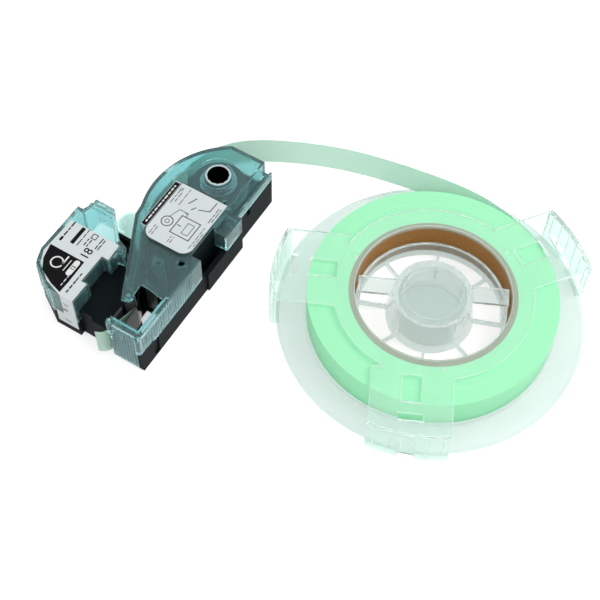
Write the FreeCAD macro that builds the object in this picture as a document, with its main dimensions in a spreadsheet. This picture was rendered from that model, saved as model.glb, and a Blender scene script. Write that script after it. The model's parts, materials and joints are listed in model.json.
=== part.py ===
# A long-run label tape cassette with its separate roll of tape in a clear holder.
# Lengths are millimetres and angles are degrees.
# The case lies along X from its front face to the lobe, Y runs to its left, Z is up.
import FreeCAD, Part
import math
import os

import Sketcher

document = FreeCAD.newDocument("LabelTapeCassette")
sheet = document.addObject("Spreadsheet::Sheet", "Sizes")

driving_sizes = {
    # Heights of the case
    "case_height": 30.6,
    "split_height": 14.0,
    "deck_height": 20.0,
    "left_split": 11.5,
    "floor_thickness": 1.6,
    "wall_thickness": 1.6,
    "cover_wall": 1.5,
    "seam_gap": 0.15,
    # Where the main locating hole lies from the case's front right corner
    "datum_x": 45.2,
    "datum_y": 4.5,
    "datum_radius": 1.9,
    # Plan of the right block
    "right_y": -2.5,
    "back_x": 118.8,
    "back_y": -0.8,
    "lobe_x": 80.0,
    "lobe_y": -2.5,
    "lobe_radius": 46.5,
    "lobe_end_x": 64.0,
    "slope_top_x": 57.5,
    "slope_top_y": 40.3,
    "slope_foot_x": 13.4,
    "slope_foot_y": 17.3,
    "front_panel_y": 15.5,
    # Plan of the head opening
    "front_lip": 3.3,
    "rail_y": 0.5,
    "notch_x": 23.7,
    "notch_mid_x": 25.3,
    "notch_mid_y": 10.0,
    "notch_top_y": 14.3,
    "notch_low_x": 14.5,
    "notch_low_y": 13.4,
    "corner_x": 9.5,
    "corner_rise": 2.0,
    "floor_hole_x": 7.6,
    "floor_hole_end": 28.5,
    "floor_hole_y": 3.8,
    "floor_hole_top": 12.6,
    # The open pocket and the grooved ledge of the right side
    "pocket_x": 51.5,
    "pocket_end": 72.0,
    "pocket_y": 3.5,
    "bulge_y": -3.7,
    "bulge_x": 55.0,
    "bulge_end": 86.0,
    "bulge_top": 25.5,
    "ledge_y": 3.4,
    "ledge_height": 19.0,
    "ledge_x": 97.5,
    "groove_floor": 22.0,
    "groove_rail": 1.1,
    "rail_height": 24.5,
    # The label pad
    "pad_x": 48.5,
    "pad_end": 85.2,
    "pad_y": 3.6,
    "pad_top_y": 31.0,
    "pad_height": 1.2,
    "pad_corner": 6.0,
    # Plan of the left block and the deck
    "left_y": 35.3,
    "left_end_y": 67.1,
    "left_back_x": 46.4,
    "left_base_x": 40.0,
    "step_one_x": 12.2,
    "step_one_y": 38.6,
    "step_two_x": 27.5,
    "step_two_y": 34.6,
    "step_three_x": 34.2,
    "step_three_y": 30.0,
    "hook_x": 39.0,
    "hook_y": 32.0,
    "tab_y": 48.5,
    "tab_x": 55.4,
    "tab_root_x": 51.8,
    "tab_end_y": 62.8,
    "tab_step_x": 49.3,
    "tab_drop": 1.6,
    "left_corner_x": 9.0,
    "left_corner_y": 64.4,
    "front_corner_y": 50.0,
    "deck_front_x": 2.6,
    "deck_low_y": 18.4,
    "rim_height": 24.0,
    "rim_thickness": 1.8,
    # Ribs on the outside walls
    "rib_width": 0.7,
    "rib_height": 0.35,
    "side_rib_pitch": 2.0,
    "side_rib_count": 20,
    "front_rib_pitch": 1.7,
    "front_rib_count": 8,
    # Ribbon spools and their films
    "supply_x": 100.0,
    "supply_y": 19.4,
    "takeup_x": 66.5,
    "takeup_y": 19.0,
    "socket_radius": 4.7,
    "spool_radius": 6.6,
    "takeup_socket": 3.4,
    "takeup_radius": 5.2,
    "spool_flange": 9.6,
    "flange_thickness": 1.0,
    "socket_step": 0.3,
    "socket_teeth": 12,
    "tooth_depth": 0.7,
    "tooth_width": 1.0,
    "supply_film_radius": 14.0,
    "takeup_film_radius": 9.2,
    "film_width": 18.0,
    "film_thickness": 0.15,
    "spool_clearance": 0.3,
    "journal_clearance": 0.06,
    "collar_recess": 10.1,
    "washer_low": 0.2,
    "washer_top": 1.2,
    "spring_wire": 0.5,
    "spring_inset": 2.0,
    "spring_turns": 2,
    # Platen, idler and guides
    "platen_x": 17.6,
    "platen_y": 16.2,
    "platen_radius": 2.6,
    "platen_shaft_radius": 1.0,
    "idler_x": 40.4,
    "idler_y": 14.9,
    "idler_radius": 3.0,
    "idler_pin_radius": 1.0,
    "boss_x": 86.5,
    "boss_y": 6.7,
    "boss_radius": 1.3,
    # Tape and its roll
    "tape_width": 18.0,
    "tape_thickness": 0.2,
    "tape_floor": 2.9,
    "post_radius": 1.6,
    "tail_x": 1.6,
    "tail_y": 22.0,
    "tail_radius": 5.0,
    "reel_x": 100.8,
    "reel_y": -104.6,
    "roll_radius": 61.5,
    "core_inner": 38.1,
    "core_wall": 3.2,
    # Holder: disc, inner wall, hub and bridge
    "disc_radius": 76.5,
    "disc_bottom": 1.0,
    "disc_thickness": 1.8,
    "disc_rim": 1.4,
    "disc_rim_drop": 0.15,
    "guard_radius": 62.3,
    "guard_width": 0.9,
    "guard_height": 1.6,
    "guard_gap": 40.0,
    "guard_gap_angle": -12.0,
    "inner_wall_radius": 37.65,
    "inner_wall_thickness": 1.5,
    "inner_wall_height": 9.6,
    "hub_foot_radius": 22.0,
    "hub_top_radius": 19.4,
    "hub_height": 20.4,
    "hub_dish_radius": 14.8,
    "hub_dish_depth": 0.7,
    "hub_roof": 1.8,
    "hub_bore_radius": 17.0,
    "spoke_width": 1.4,
    "spoke_height": 2.6,
    "spoke_count": 8,
    "spoke_angle": -24.1,
    "bridge_width": 9.0,
    "bridge_offset": 2.0,
    "bridge_reach": 36.8,
    "bridge_angle": -64.5,
    # Holder: ring and arms
    "ring_inner": 38.4,
    "ring_outer": 49.0,
    "ring_height": 21.3,
    "ring_thickness": 1.8,
    "clip_radius": 79.8,
    "clip_thickness": 2.0,
    "hook_reach": 2.6,
    "hook_thickness": 0.8,
    "hook_notch": 8.0,
    "hook_notch_height": 4.0,
    "wide_arm_width": 42.0,
    "arm_width": 39.0,
    "wide_arm_angle": 114.9,
    "wide_arm_offset": -7.0,
    "near_arm_angle": -37.1,
    "near_arm_offset": 3.0,
    "far_arm_angle": -154.1,
    "far_arm_offset": -8.0,
    "window_start": 47.5,
    "window_end": 61.5,
    "window_width": 9.5,
    "slot_start": 67.5,
    "slot_end": 71.0,
    "slot_width": 12.0,
    "peg_radius": 1.5,
    "peg_circle": 42.9,
    "peg_height": 1.0,
    "peg_count": 3,
    "peg_angle": -26.1,
    # Stickers
    "sticker_thickness": 0.15,
    "front_label_low": 4.8,
}


class Size:
    """A size as the sheet's formula together with its present value."""

    def __init__(self, text, value):
        self.text = text
        self.value = float(value)

    def __add__(self, other):
        other = as_size(other)
        return Size(f"({self.text} + {other.text})", self.value + other.value)

    def __radd__(self, other):
        return as_size(other) + self

    def __sub__(self, other):
        other = as_size(other)
        return Size(f"({self.text} - {other.text})", self.value - other.value)

    def __rsub__(self, other):
        return as_size(other) - self

    def __mul__(self, other):
        other = as_size(other)
        return Size(f"({self.text} * {other.text})", self.value * other.value)

    def __rmul__(self, other):
        return as_size(other) * self

    def __truediv__(self, other):
        other = as_size(other)
        return Size(f"({self.text} / {other.text})", self.value / other.value)

    def __neg__(self):
        return Size(f"(0 - {self.text})", -self.value)


def as_size(number):
    return number if isinstance(number, Size) else Size(str(number), number)


def root(size):
    return Size(f"sqrt({size.text})", math.sqrt(size.value))


size = {}
for row, (name, value) in enumerate(driving_sizes.items(), start=1):
    sheet.set(f"A{row}", name)
    sheet.set(f"B{row}", str(value))
    sheet.setAlias(f"B{row}", name)
    size[name] = Size(f"Sizes.{name}", value)
document.recompute()


def bind(feature, path, amount):
    feature.setExpression(path, as_size(amount).text)


# Bodies, sketches and their features

case_place = (-size["datum_x"], -size["datum_y"], as_size(0))
reel_place = (size["reel_x"] - size["datum_x"], size["reel_y"] - size["datum_y"], as_size(0))


def place(feature, spot):
    for letter, amount in zip("xyz", spot):
        bind(feature, f"Placement.Base.{letter}", amount)


def new_body(label, spot):
    body = document.addObject("PartDesign::Body", label)
    body.Label = label
    place(body, spot)
    return body


def new_sketch(body, level=0, angle=0, role="XY_Plane"):
    plane = next(item for item in body.Origin.OriginFeatures if item.Role == role)
    sketch = body.newObject("Sketcher::SketchObject", "Profile")
    sketch.AttachmentSupport = (plane, [""])
    sketch.MapMode = "FlatFace"
    if role == "XY_Plane":
        bind(sketch, "AttachmentOffset.Base.z", level)
        turn = as_size(angle)
        sketch.AttachmentOffset = FreeCAD.Placement(
            FreeCAD.Vector(0, 0, as_size(level).value),
            FreeCAD.Rotation(FreeCAD.Vector(0, 0, 1), turn.value),
        )
        if turn.value:
            bind(sketch, "AttachmentOffset.Rotation.Angle", turn)
    return sketch


def fix_point(sketch, shape_id, point_id, x, y):
    for kind, amount in (("DistanceX", as_size(x)), ("DistanceY", as_size(y))):
        number = sketch.addConstraint(
            Sketcher.Constraint(kind, -1, 1, shape_id, point_id, amount.value)
        )
        bind(sketch, f"Constraints[{number}]", amount)


def add_circle(sketch, x, y, radius):
    x, y, radius = as_size(x), as_size(y), as_size(radius)
    middle = FreeCAD.Vector(x.value, y.value, 0)
    up = FreeCAD.Vector(0, 0, 1)
    circle = sketch.addGeometry(Part.Circle(middle, up, radius.value))
    fix_point(sketch, circle, 3, x, y)
    number = sketch.addConstraint(Sketcher.Constraint("Radius", circle, radius.value))
    bind(sketch, f"Constraints[{number}]", radius)


def add_outline(sketch, corners):
    """Close a loop through (x, y) corners.

    A corner (x, y, radius) is reached by an arc that bulges to the right of the way
    there, and (x, y, radius, -1) by one that bulges to the left.
    """
    spots = [FreeCAD.Vector(as_size(c[0]).value, as_size(c[1]).value, 0) for c in corners]
    ends = []
    for index, corner in enumerate(corners):
        start = spots[index - 1]
        end = spots[index]
        if len(corner) > 2:
            radius = as_size(corner[2])
            side = corner[3] if len(corner) > 3 else 1
            chord = end - start
            sagitta = radius.value - math.sqrt(radius.value**2 - (chord.Length / 2) ** 2)
            outward = FreeCAD.Vector(chord.y, -chord.x, 0).normalize() * side
            middle = (start + end) * 0.5 + outward * sagitta
            shape_id = sketch.addGeometry(Part.Arc(start, middle, end))
            number = sketch.addConstraint(Sketcher.Constraint("Radius", shape_id, radius.value))
            bind(sketch, f"Constraints[{number}]", radius)
        else:
            shape_id = sketch.addGeometry(Part.LineSegment(start, end))
        first = sketch.getPoint(shape_id, 1)
        ends.append((shape_id, (1, 2) if (first - start).Length < (first - end).Length else (2, 1)))
    for index, corner in enumerate(corners):
        shape_id, (_, end_id) = ends[index]
        next_id, (start_id, _) = ends[(index + 1) % len(corners)]
        sketch.addConstraint(
            Sketcher.Constraint("Coincident", shape_id, end_id, next_id, start_id)
        )
        fix_point(sketch, shape_id, end_id, corner[0], corner[1])


def box_corners(x_low, y_low, x_high, y_high):
    return [(x_low, y_low), (x_high, y_low), (x_high, y_high), (x_low, y_high)]


def pad(body, sketch, height):
    feature = body.newObject("PartDesign::Pad", "Pad")
    feature.Profile = sketch
    bind(feature, "Length", height)
    sketch.Visibility = False
    return feature


def pocket(body, sketch, depth):
    feature = body.newObject("PartDesign::Pocket", "Pocket")
    feature.Profile = sketch
    bind(feature, "Length", depth)
    sketch.Visibility = False
    return feature


def pad_outline(body, corners, low, high, angle=0):
    sketch = new_sketch(body, low, angle)
    add_outline(sketch, corners)
    return pad(body, sketch, as_size(high) - low)


def cut_outline(body, corners, low, high, angle=0):
    sketch = new_sketch(body, high, angle)
    add_outline(sketch, corners)
    return pocket(body, sketch, as_size(high) - low)


def pad_circles(body, x, y, radii, low, high):
    sketch = new_sketch(body, low)
    for radius in radii:
        add_circle(sketch, x, y, radius)
    return pad(body, sketch, as_size(high) - low)


def cut_circles(body, x, y, radii, low, high):
    sketch = new_sketch(body, high)
    for radius in radii:
        add_circle(sketch, x, y, radius)
    return pocket(body, sketch, as_size(high) - low)


def revolve(body, corners):
    sketch = new_sketch(body, role="XZ_Plane")
    add_outline(sketch, corners)
    feature = body.newObject("PartDesign::Revolution", "Revolution")
    feature.Profile = sketch
    feature.ReferenceAxis = (sketch, ["V_Axis"])
    feature.Angle = 360
    sketch.Visibility = False
    return feature


def polar_pattern(body, features, count):
    document.recompute()
    axis = next(item for item in body.Origin.OriginFeatures if item.Role == "Z_Axis")
    pattern = body.newObject("PartDesign::PolarPattern", "PolarPattern")
    pattern.Originals = features
    pattern.Axis = (axis, [""])
    pattern.Angle = 360
    bind(pattern, "Occurrences", count)
    body.Tip = pattern
    return pattern


def row_pattern(body, features, role, count, length):
    document.recompute()
    axis = next(item for item in body.Origin.OriginFeatures if item.Role == role)
    pattern = body.newObject("PartDesign::LinearPattern", "LinearPattern")
    pattern.Originals = features
    pattern.Direction = (axis, [""])
    bind(pattern, "Length", length)
    bind(pattern, "Occurrences", count)
    body.Tip = pattern
    return pattern


def shell(body, feature, level, thickness):
    """Hollow a padded block with walls of one thickness, open at the given level."""
    document.recompute()
    for number, face in enumerate(feature.Shape.Faces, start=1):
        flat = face.BoundBox.ZLength < 1e-6
        if flat and abs(face.CenterOfMass.z - as_size(level).value) < 1e-6:
            opening = f"Face{number}"
    hollow = body.newObject("PartDesign::Thickness", "Thickness")
    hollow.Base = (feature, [opening])
    bind(hollow, "Value", thickness)
    hollow.Reversed = True
    hollow.Join = 1
    return hollow


def round_uprights(body, feature, spots, radius):
    """Round the vertical edges that stand at the given plan positions."""
    document.recompute()
    names = []
    for number, edge in enumerate(feature.Shape.Edges, start=1):
        if edge.BoundBox.ZLength < 1:
            continue
        middle = edge.CenterOfMass
        for x, y in spots:
            if math.hypot(middle.x - as_size(x).value, middle.y - as_size(y).value) < 0.01:
                names.append(f"Edge{number}")
    fillet = body.newObject("PartDesign::Fillet", "Fillet")
    fillet.Base = (feature, names)
    bind(fillet, "Radius", radius)
    return fillet


# Heights and plan places that several pieces share

floor_top = size["floor_thickness"]
case_top = size["case_height"]
ceiling = case_top - size["cover_wall"]
cover_low = size["split_height"] + size["seam_gap"]
left_low = size["left_split"] + size["seam_gap"]
film_low = floor_top + 2.3
film_high = film_low + size["film_width"]
tape_top = size["tape_floor"] + size["tape_width"]
teeth_low = film_low + size["film_width"] / 2


def lobe_y_at(x, radius):
    """The Y of the lobe's round wall at x."""
    across = x - size["lobe_x"]
    return size["lobe_y"] + root(radius * radius - across * across)


lobe_back_y = lobe_y_at(size["back_x"], size["lobe_radius"])
lobe_end_y = lobe_y_at(size["lobe_end_x"], size["lobe_radius"])
slope = (size["slope_top_y"] - size["slope_foot_y"]) / (size["slope_top_x"] - size["slope_foot_x"])


def slope_y(x, outward=0):
    """The Y of the right block's slanted wall at x, moved out to the left."""
    return size["slope_foot_y"] + (as_size(x) - size["slope_foot_x"]) * slope + outward


# The black lower case


def make_lower_case():
    body = new_body("lower_case", case_place)
    hook_end_x = size["hook_x"] + 8.5
    deck_edge_y = size["left_y"] - 0.3
    nose_x = size["deck_front_x"] - 1.8
    panel_back = size["cover_wall"] + size["seam_gap"]
    outline = [
        (0, size["right_y"]),
        (size["bulge_x"], size["right_y"]),
        (size["bulge_x"], size["bulge_y"]),
        (size["bulge_end"], size["bulge_y"]),
        (size["bulge_end"] + 1.5, size["back_y"]),
        (size["back_x"], size["back_y"]),
        (size["back_x"], lobe_back_y),
        (size["lobe_end_x"], lobe_end_y, size["lobe_radius"]),
        (size["slope_top_x"], size["slope_top_y"]),
        (hook_end_x, slope_y(hook_end_x)),
        (hook_end_x, size["tab_y"] - 4.3),
        (size["left_base_x"], size["tab_y"] - 4.3),
        (size["left_base_x"], size["left_end_y"]),
        (size["left_corner_x"] + 7.7, size["left_end_y"]),
        (size["left_corner_x"], size["left_corner_y"]),
        (0, size["front_corner_y"]),
        (0, size["left_y"]),
        (size["deck_front_x"], size["left_y"]),
        (size["deck_front_x"], size["deck_low_y"] + 10),
        (nose_x, size["deck_low_y"] + 8),
        (nose_x, size["deck_low_y"]),
        (size["deck_front_x"], size["deck_low_y"]),
        (size["deck_front_x"], size["front_panel_y"]),
        (panel_back, size["front_panel_y"]),
        (panel_back, size["rail_y"]),
        (0, size["rail_y"]),
    ]
    pad_outline(body, outline, 0, size["split_height"])
    wall = size["wall_thickness"]
    inner_radius = size["lobe_radius"] - wall
    inner_back = size["back_x"] - wall
    inner_slope = -1.13 * wall
    right_hollow = [
        (panel_back + wall, size["right_y"] + wall),
        (size["bulge_end"], size["right_y"] + wall),
        (size["bulge_end"] + 1.5, size["back_y"] + wall),
        (inner_back, size["back_y"] + wall),
        (inner_back, lobe_y_at(inner_back, inner_radius)),
        (size["lobe_end_x"], lobe_y_at(size["lobe_end_x"], inner_radius), inner_radius),
        (size["slope_top_x"], size["slope_top_y"] + inner_slope),
        (size["slope_foot_x"], size["slope_foot_y"] + inner_slope + 2.4),
        (size["slope_foot_x"], size["deck_low_y"] + 0.1),
        (size["deck_front_x"] - 1, size["deck_low_y"] + 0.1),
        (size["deck_front_x"] - 1, size["front_panel_y"]),
        (panel_back + wall, size["front_panel_y"]),
    ]
    cut_outline(body, right_hollow, floor_top, size["split_height"])
    left_hollow = [
        (wall, size["left_y"] + wall),
        (size["left_base_x"] - wall, size["left_y"] + wall),
        (size["left_base_x"] - wall, size["left_end_y"] - wall),
        (size["left_corner_x"] + 7.9, size["left_end_y"] - wall),
        (size["left_corner_x"] + 0.9, size["left_corner_y"] - wall),
        (wall, size["front_corner_y"] - 0.7),
    ]
    cut_outline(body, left_hollow, floor_top, size["split_height"])
    deck = [
        (nose_x, size["deck_low_y"]),
        (size["slope_foot_x"] + 1.2, size["deck_low_y"]),
        (hook_end_x, slope_y(hook_end_x, 0.4)),
        (hook_end_x, size["tab_y"] - 4.4),
        (size["step_three_x"] + 0.3, size["step_two_y"] - 1.4),
        (size["step_three_x"] + 0.3, size["step_two_y"] - 0.3),
        (size["step_two_x"] - 0.3, size["step_two_y"] - 0.3),
        (size["step_two_x"] - 0.3, size["step_one_y"] - 0.3),
        (size["step_one_x"] + 0.3, size["step_one_y"] - 0.3),
        (size["step_one_x"] + 0.3, deck_edge_y),
        (size["deck_front_x"], deck_edge_y),
        (size["deck_front_x"], size["deck_low_y"] + 10),
        (nose_x, size["deck_low_y"] + 8),
    ]
    pad_outline(body, deck, 0, size["deck_height"])
    hollow = [
        (size["deck_front_x"] + 1.6, size["deck_low_y"] + 1.6),
        (size["slope_foot_x"], size["deck_low_y"] + 1.6),
        (size["hook_x"] - 7, slope_y(size["hook_x"] - 7, 1.8)),
        (size["hook_x"] - 7, size["left_y"] - 2.6),
        (size["deck_front_x"] + 1.6, size["left_y"] - 2.6),
    ]
    cut_outline(body, hollow, 0, size["deck_height"] - size["wall_thickness"])
    rim = [
        (size["hook_x"] - 4.5, slope_y(size["hook_x"] - 4.5, 0.4)),
        (hook_end_x, slope_y(hook_end_x, 0.4)),
        (hook_end_x, size["tab_y"] - 4.4),
        (hook_end_x - size["rim_thickness"], size["tab_y"] - 5.9),
        (hook_end_x - size["rim_thickness"], slope_y(hook_end_x - size["rim_thickness"], 1.6)),
        (size["hook_x"] - 4.5, slope_y(size["hook_x"] - 4.5, 1.6)),
    ]
    pad_outline(body, rim, size["deck_height"] - 1, size["rim_height"])
    gap = size["seam_gap"]
    left_trim = [
        (-1, size["left_y"] - gap),
        (size["step_one_x"] + gap, size["left_y"] - gap),
        (size["step_one_x"] + gap, size["step_one_y"] - gap),
        (size["step_two_x"] - gap, size["step_one_y"] - gap),
        (size["step_two_x"] - gap, size["step_two_y"] - gap),
        (size["step_three_x"] + gap, size["step_two_y"] - gap),
        (size["step_three_x"] + 2, size["step_two_y"] + gap),
        (hook_end_x + gap, size["tab_y"] - 4.15),
        (hook_end_x + gap, size["tab_y"]),
        (size["left_base_x"] + 1, size["tab_y"]),
        (size["left_base_x"] + 1, size["left_end_y"] + 1),
        (-1, size["left_end_y"] + 1),
    ]
    cut_outline(body, left_trim, size["left_split"], size["split_height"])
    ledge = [
        (size["bulge_end"] + 1.5, size["back_y"]),
        (size["ledge_x"] - 2.5, size["back_y"]),
        (size["ledge_x"], size["back_y"] + 2.2),
        (size["ledge_x"] + 0.8, size["back_y"]),
        (size["back_x"], size["back_y"]),
        (size["back_x"], size["ledge_y"]),
        (size["bulge_end"] + 1.5, size["ledge_y"]),
    ]
    pad_outline(body, ledge, 0, size["ledge_height"])
    corner = box_corners(0, size["right_y"], size["corner_x"], size["rail_y"] - gap)
    pad_outline(body, corner, 0, size["split_height"] + size["corner_rise"])
    recess = box_corners(
        size["corner_x"], size["right_y"] - 1, size["corner_x"] + 4, size["right_y"] + 0.9
    )
    cut_outline(body, recess, 1.5, size["split_height"])
    pocket_wall = box_corners(
        size["pocket_x"], size["pocket_y"], size["pocket_end"] - gap, size["pocket_y"] + wall
    )
    pad_outline(body, pocket_wall, 0, ceiling - 0.3)
    for x, y, bore in datum_holes():
        pad_circles(body, x, y, [bore + 1.5], 0, ceiling - 0.15)
    boss_side = box_corners(
        size["boss_x"] - 5, size["ledge_y"], size["boss_x"] + 5, size["ledge_y"] + size["cover_wall"] + gap
    )
    cut_outline(body, boss_side, size["split_height"], case_top)
    for x, y in (ribbon_pin_one(), ribbon_pin_two(), ribbon_pin_three(), ribbon_pin_four()):
        pad_circles(body, x, y, [ribbon_pin_radius], 0, film_high + 1)
    pad_circles(body, *tape_post(), [size["post_radius"]], 0, tape_top)
    pad_circles(body, size["idler_x"], size["idler_y"], [size["idler_pin_radius"] + 1], 0, film_low)
    for x, y, radius in spool_seats():
        pad_circles(body, x, y, [radius + 1.6], 0, floor_top + 0.5)
    pad_circles(body, size["platen_x"], size["platen_y"], [platen_bearing + 1.3], 0, floor_top + 0.6)
    head_hole = [
        (size["floor_hole_x"], size["floor_hole_y"]),
        (size["floor_hole_end"], size["floor_hole_y"]),
        (size["floor_hole_end"], size["floor_hole_top"] + 3.4),
        (size["platen_x"] + 5.2, size["floor_hole_top"] + 3.4),
        (size["platen_x"] + 2.5, size["floor_hole_top"]),
        (size["floor_hole_x"], size["floor_hole_top"]),
    ]
    cut_outline(body, head_hole, 0, floor_top)
    for x, y, bore in datum_holes():
        cut_circles(body, x, y, [bore], 0, case_top)
    for x, y, radius in spool_seats():
        cut_circles(body, x, y, [radius], 0, floor_top + 1)
    cut_circles(body, size["platen_x"], size["platen_y"], [platen_bearing], 0, floor_top + 1)
    cut_circles(
        body, size["idler_x"], size["idler_y"], [size["idler_pin_radius"]], floor_top, film_low
    )
    slit = tape_entry_slit()
    cut_outline(body, slit, size["tape_floor"] - 0.6, size["split_height"])
    return body


def datum_holes():
    return [
        (size["datum_x"], size["datum_y"], size["datum_radius"]),
        (size["boss_x"], size["boss_y"], size["boss_radius"]),
    ]


def spool_seats():
    clearance = size["journal_clearance"]
    return [
        (size["supply_x"], size["supply_y"], size["spool_radius"] + clearance),
        (size["takeup_x"], size["takeup_y"], size["takeup_radius"] + clearance),
    ]


platen_bearing = size["platen_shaft_radius"] + size["journal_clearance"]
ribbon_pin_radius = as_size(1.2)


def ribbon_pin_one():
    return size["takeup_x"] - 18.5, size["takeup_y"] + 8.4


def ribbon_pin_two():
    return size["floor_hole_x"] - 1.7, size["floor_hole_top"] - 1.6


def ribbon_pin_three():
    return size["floor_hole_x"] - 1.7, size["floor_hole_y"] - 1.5


def ribbon_pin_four():
    return size["floor_hole_end"] + 1.8, size["floor_hole_y"] - 1.5


def tape_post():
    return size["slope_foot_x"] + 14.7, size["slope_foot_y"] + 2.9


def tape_entry_slit():
    """Where the tape passes through the lobe's wall, as a plan outline."""
    x = size["lobe_x"] + 10
    y = size["lobe_y"] + size["lobe_radius"]
    return [(x, y - 4.6), (x + 16, y - 6.6), (x + 16, y - 1.2), (x, y + 1.2)]


# The clear covers


def make_right_cover():
    body = new_body("right_cover", case_place)
    wall = size["cover_wall"]
    outline = [
        (0, size["right_y"]),
        (size["bulge_end"], size["right_y"]),
        (size["bulge_end"], size["back_y"]),
        (size["back_x"], size["back_y"]),
        (size["back_x"], lobe_back_y),
        (size["lobe_end_x"], lobe_end_y, size["lobe_radius"]),
        (size["slope_top_x"], size["slope_top_y"]),
        (size["slope_foot_x"], size["slope_foot_y"]),
        (0, size["front_panel_y"]),
    ]
    block = pad_outline(body, outline, cover_low, case_top)
    shell(body, block, cover_low, wall)
    lip_low = case_top - 4
    front_lip = box_corners(0, size["right_y"], size["front_lip"], size["front_panel_y"])
    pad_outline(body, front_lip, lip_low, case_top)
    rail = box_corners(0, size["right_y"], size["notch_mid_x"] + 1, size["rail_y"])
    pad_outline(body, rail, lip_low, case_top)
    opening = [
        (size["front_lip"], size["rail_y"]),
        (size["notch_x"], size["rail_y"]),
        (size["notch_mid_x"], size["notch_mid_y"]),
        (size["notch_mid_x"], size["notch_top_y"]),
        (size["notch_low_x"] + 8, size["notch_top_y"]),
        (size["notch_low_x"], size["notch_low_y"]),
        (size["slope_foot_x"], size["slope_foot_y"]),
        (size["slope_foot_x"], size["slope_foot_y"] + 3),
        (size["front_lip"], size["slope_foot_y"] + 3),
    ]
    cut_outline(body, opening, cover_low - 1, case_top + 1)
    exit_gap = [
        (size["slope_foot_x"] - 1, size["slope_foot_y"] - 3),
        (size["platen_x"] + 8, size["platen_y"] - 1),
        (size["platen_x"] + 8, slope_y(size["platen_x"] + 8, 1)),
        (size["slope_foot_x"] - 1, size["slope_foot_y"] + 1),
    ]
    cut_outline(body, exit_gap, cover_low - 1, ceiling)
    panel = box_corners(0, size["rail_y"], wall, size["front_panel_y"])
    pad_outline(body, panel, 0, cover_low + 1)
    # The end of the wall in the ledge and the clear block beside the pocket
    ledge_y = size["ledge_y"]
    ledge_end = size["back_x"] + 1
    ledge_clear = box_corners(
        size["bulge_end"] - wall - 0.5, size["back_y"] - 1, ledge_end, ledge_y + 0.15
    )
    cut_outline(body, ledge_clear, cover_low - 1, size["ledge_height"] + 0.15)
    inner_wall = box_corners(size["pocket_end"], ledge_y, size["back_x"], ledge_y + wall)
    pad_outline(body, inner_wall, size["groove_floor"] - wall, case_top)
    groove_plate = box_corners(size["bulge_end"], size["back_y"], size["back_x"], ledge_y + wall)
    pad_outline(body, groove_plate, size["groove_floor"] - wall, size["groove_floor"])
    ledge_top = box_corners(size["pocket_x"], size["bulge_y"] - 1, ledge_end, ledge_y)
    cut_outline(body, ledge_top, size["bulge_top"], case_top + 1)
    groove = box_corners(
        size["bulge_end"], size["back_y"] + size["groove_rail"], ledge_end, ledge_y
    )
    cut_outline(body, groove, size["groove_floor"], size["bulge_top"] + 1)
    rail_top = box_corners(size["bulge_end"], size["bulge_y"], ledge_end, ledge_y)
    cut_outline(body, rail_top, size["rail_height"], size["bulge_top"] + 1)
    shoulder = box_corners(size["pocket_end"], size["bulge_y"], size["bulge_end"], ledge_y + wall)
    pad_outline(body, shoulder, cover_low, size["bulge_top"])
    shoulder_hollow = box_corners(
        size["pocket_end"] + wall, size["bulge_y"] + wall, size["bulge_end"] - wall, ledge_y + wall + 1
    )
    cut_outline(body, shoulder_hollow, cover_low - 1, size["bulge_top"] - wall)
    pocket_clear = box_corners(
        size["pocket_x"], size["bulge_y"] - 1, size["pocket_end"], size["pocket_y"]
    )
    cut_outline(body, pocket_clear, cover_low - 1, case_top + 1)
    # The raised label pad
    corner = size["pad_corner"]
    label_pad = [
        (size["pad_x"] + corner, size["pad_y"], corner),
        (size["pad_end"], size["pad_y"]),
        (size["pad_end"], size["pad_top_y"]),
        (size["pad_x"] + corner, size["pad_top_y"]),
        (size["pad_x"], size["pad_top_y"] - corner, corner),
        (size["pad_x"], size["pad_y"] + corner),
    ]
    pad_outline(body, label_pad, ceiling, case_top + size["pad_height"])
    # Bosses, rings, pips and holes of the top
    pad_circles(body, 0.5, size["front_panel_y"] - 0.4, [1.7], tape_top + 0.6, case_top)
    pad_circles(body, 0.3, size["right_y"] + 1.6, [1.7], cover_low + 2, case_top - 1.5)
    platen_boss = [size["platen_shaft_radius"] + 1.2]
    pad_circles(body, size["platen_x"], size["platen_y"], platen_boss, ceiling - 2.2, case_top)
    for x, y in cover_pips():
        pad_circles(body, x, y, [1.2], ceiling, case_top + 0.4)
    cut_circles(
        body, size["supply_x"], size["supply_y"], [size["collar_recess"]], case_top - 0.7, case_top
    )
    collar_hole = size["spool_radius"] + size["spool_clearance"]
    cut_circles(body, size["supply_x"], size["supply_y"], [collar_hole], ceiling - 1, case_top)
    pad_circles(body, size["datum_x"], size["datum_y"], [3.2], ceiling, case_top + 0.7)
    pad_circles(body, size["boss_x"], size["boss_y"], [2.6], ceiling, case_top + 0.5)
    for x, y, bore in datum_holes():
        cut_circles(body, x, y, [bore], ceiling - 1, case_top + 2)
    ring = [size["idler_pin_radius"] + 2.4, size["idler_pin_radius"] + 1.3]
    pad_circles(body, size["idler_x"], size["idler_y"], ring, ceiling, case_top + 0.6)
    cut_circles(
        body, size["idler_x"], size["idler_y"], [size["idler_pin_radius"]], ceiling - 1, case_top + 1
    )
    cut_circles(
        body, size["platen_x"], size["platen_y"], [platen_bearing], ceiling - 3, ceiling - 0.2
    )
    cut_outline(body, tape_entry_slit(), cover_low - 1, tape_top + 0.6)
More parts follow.
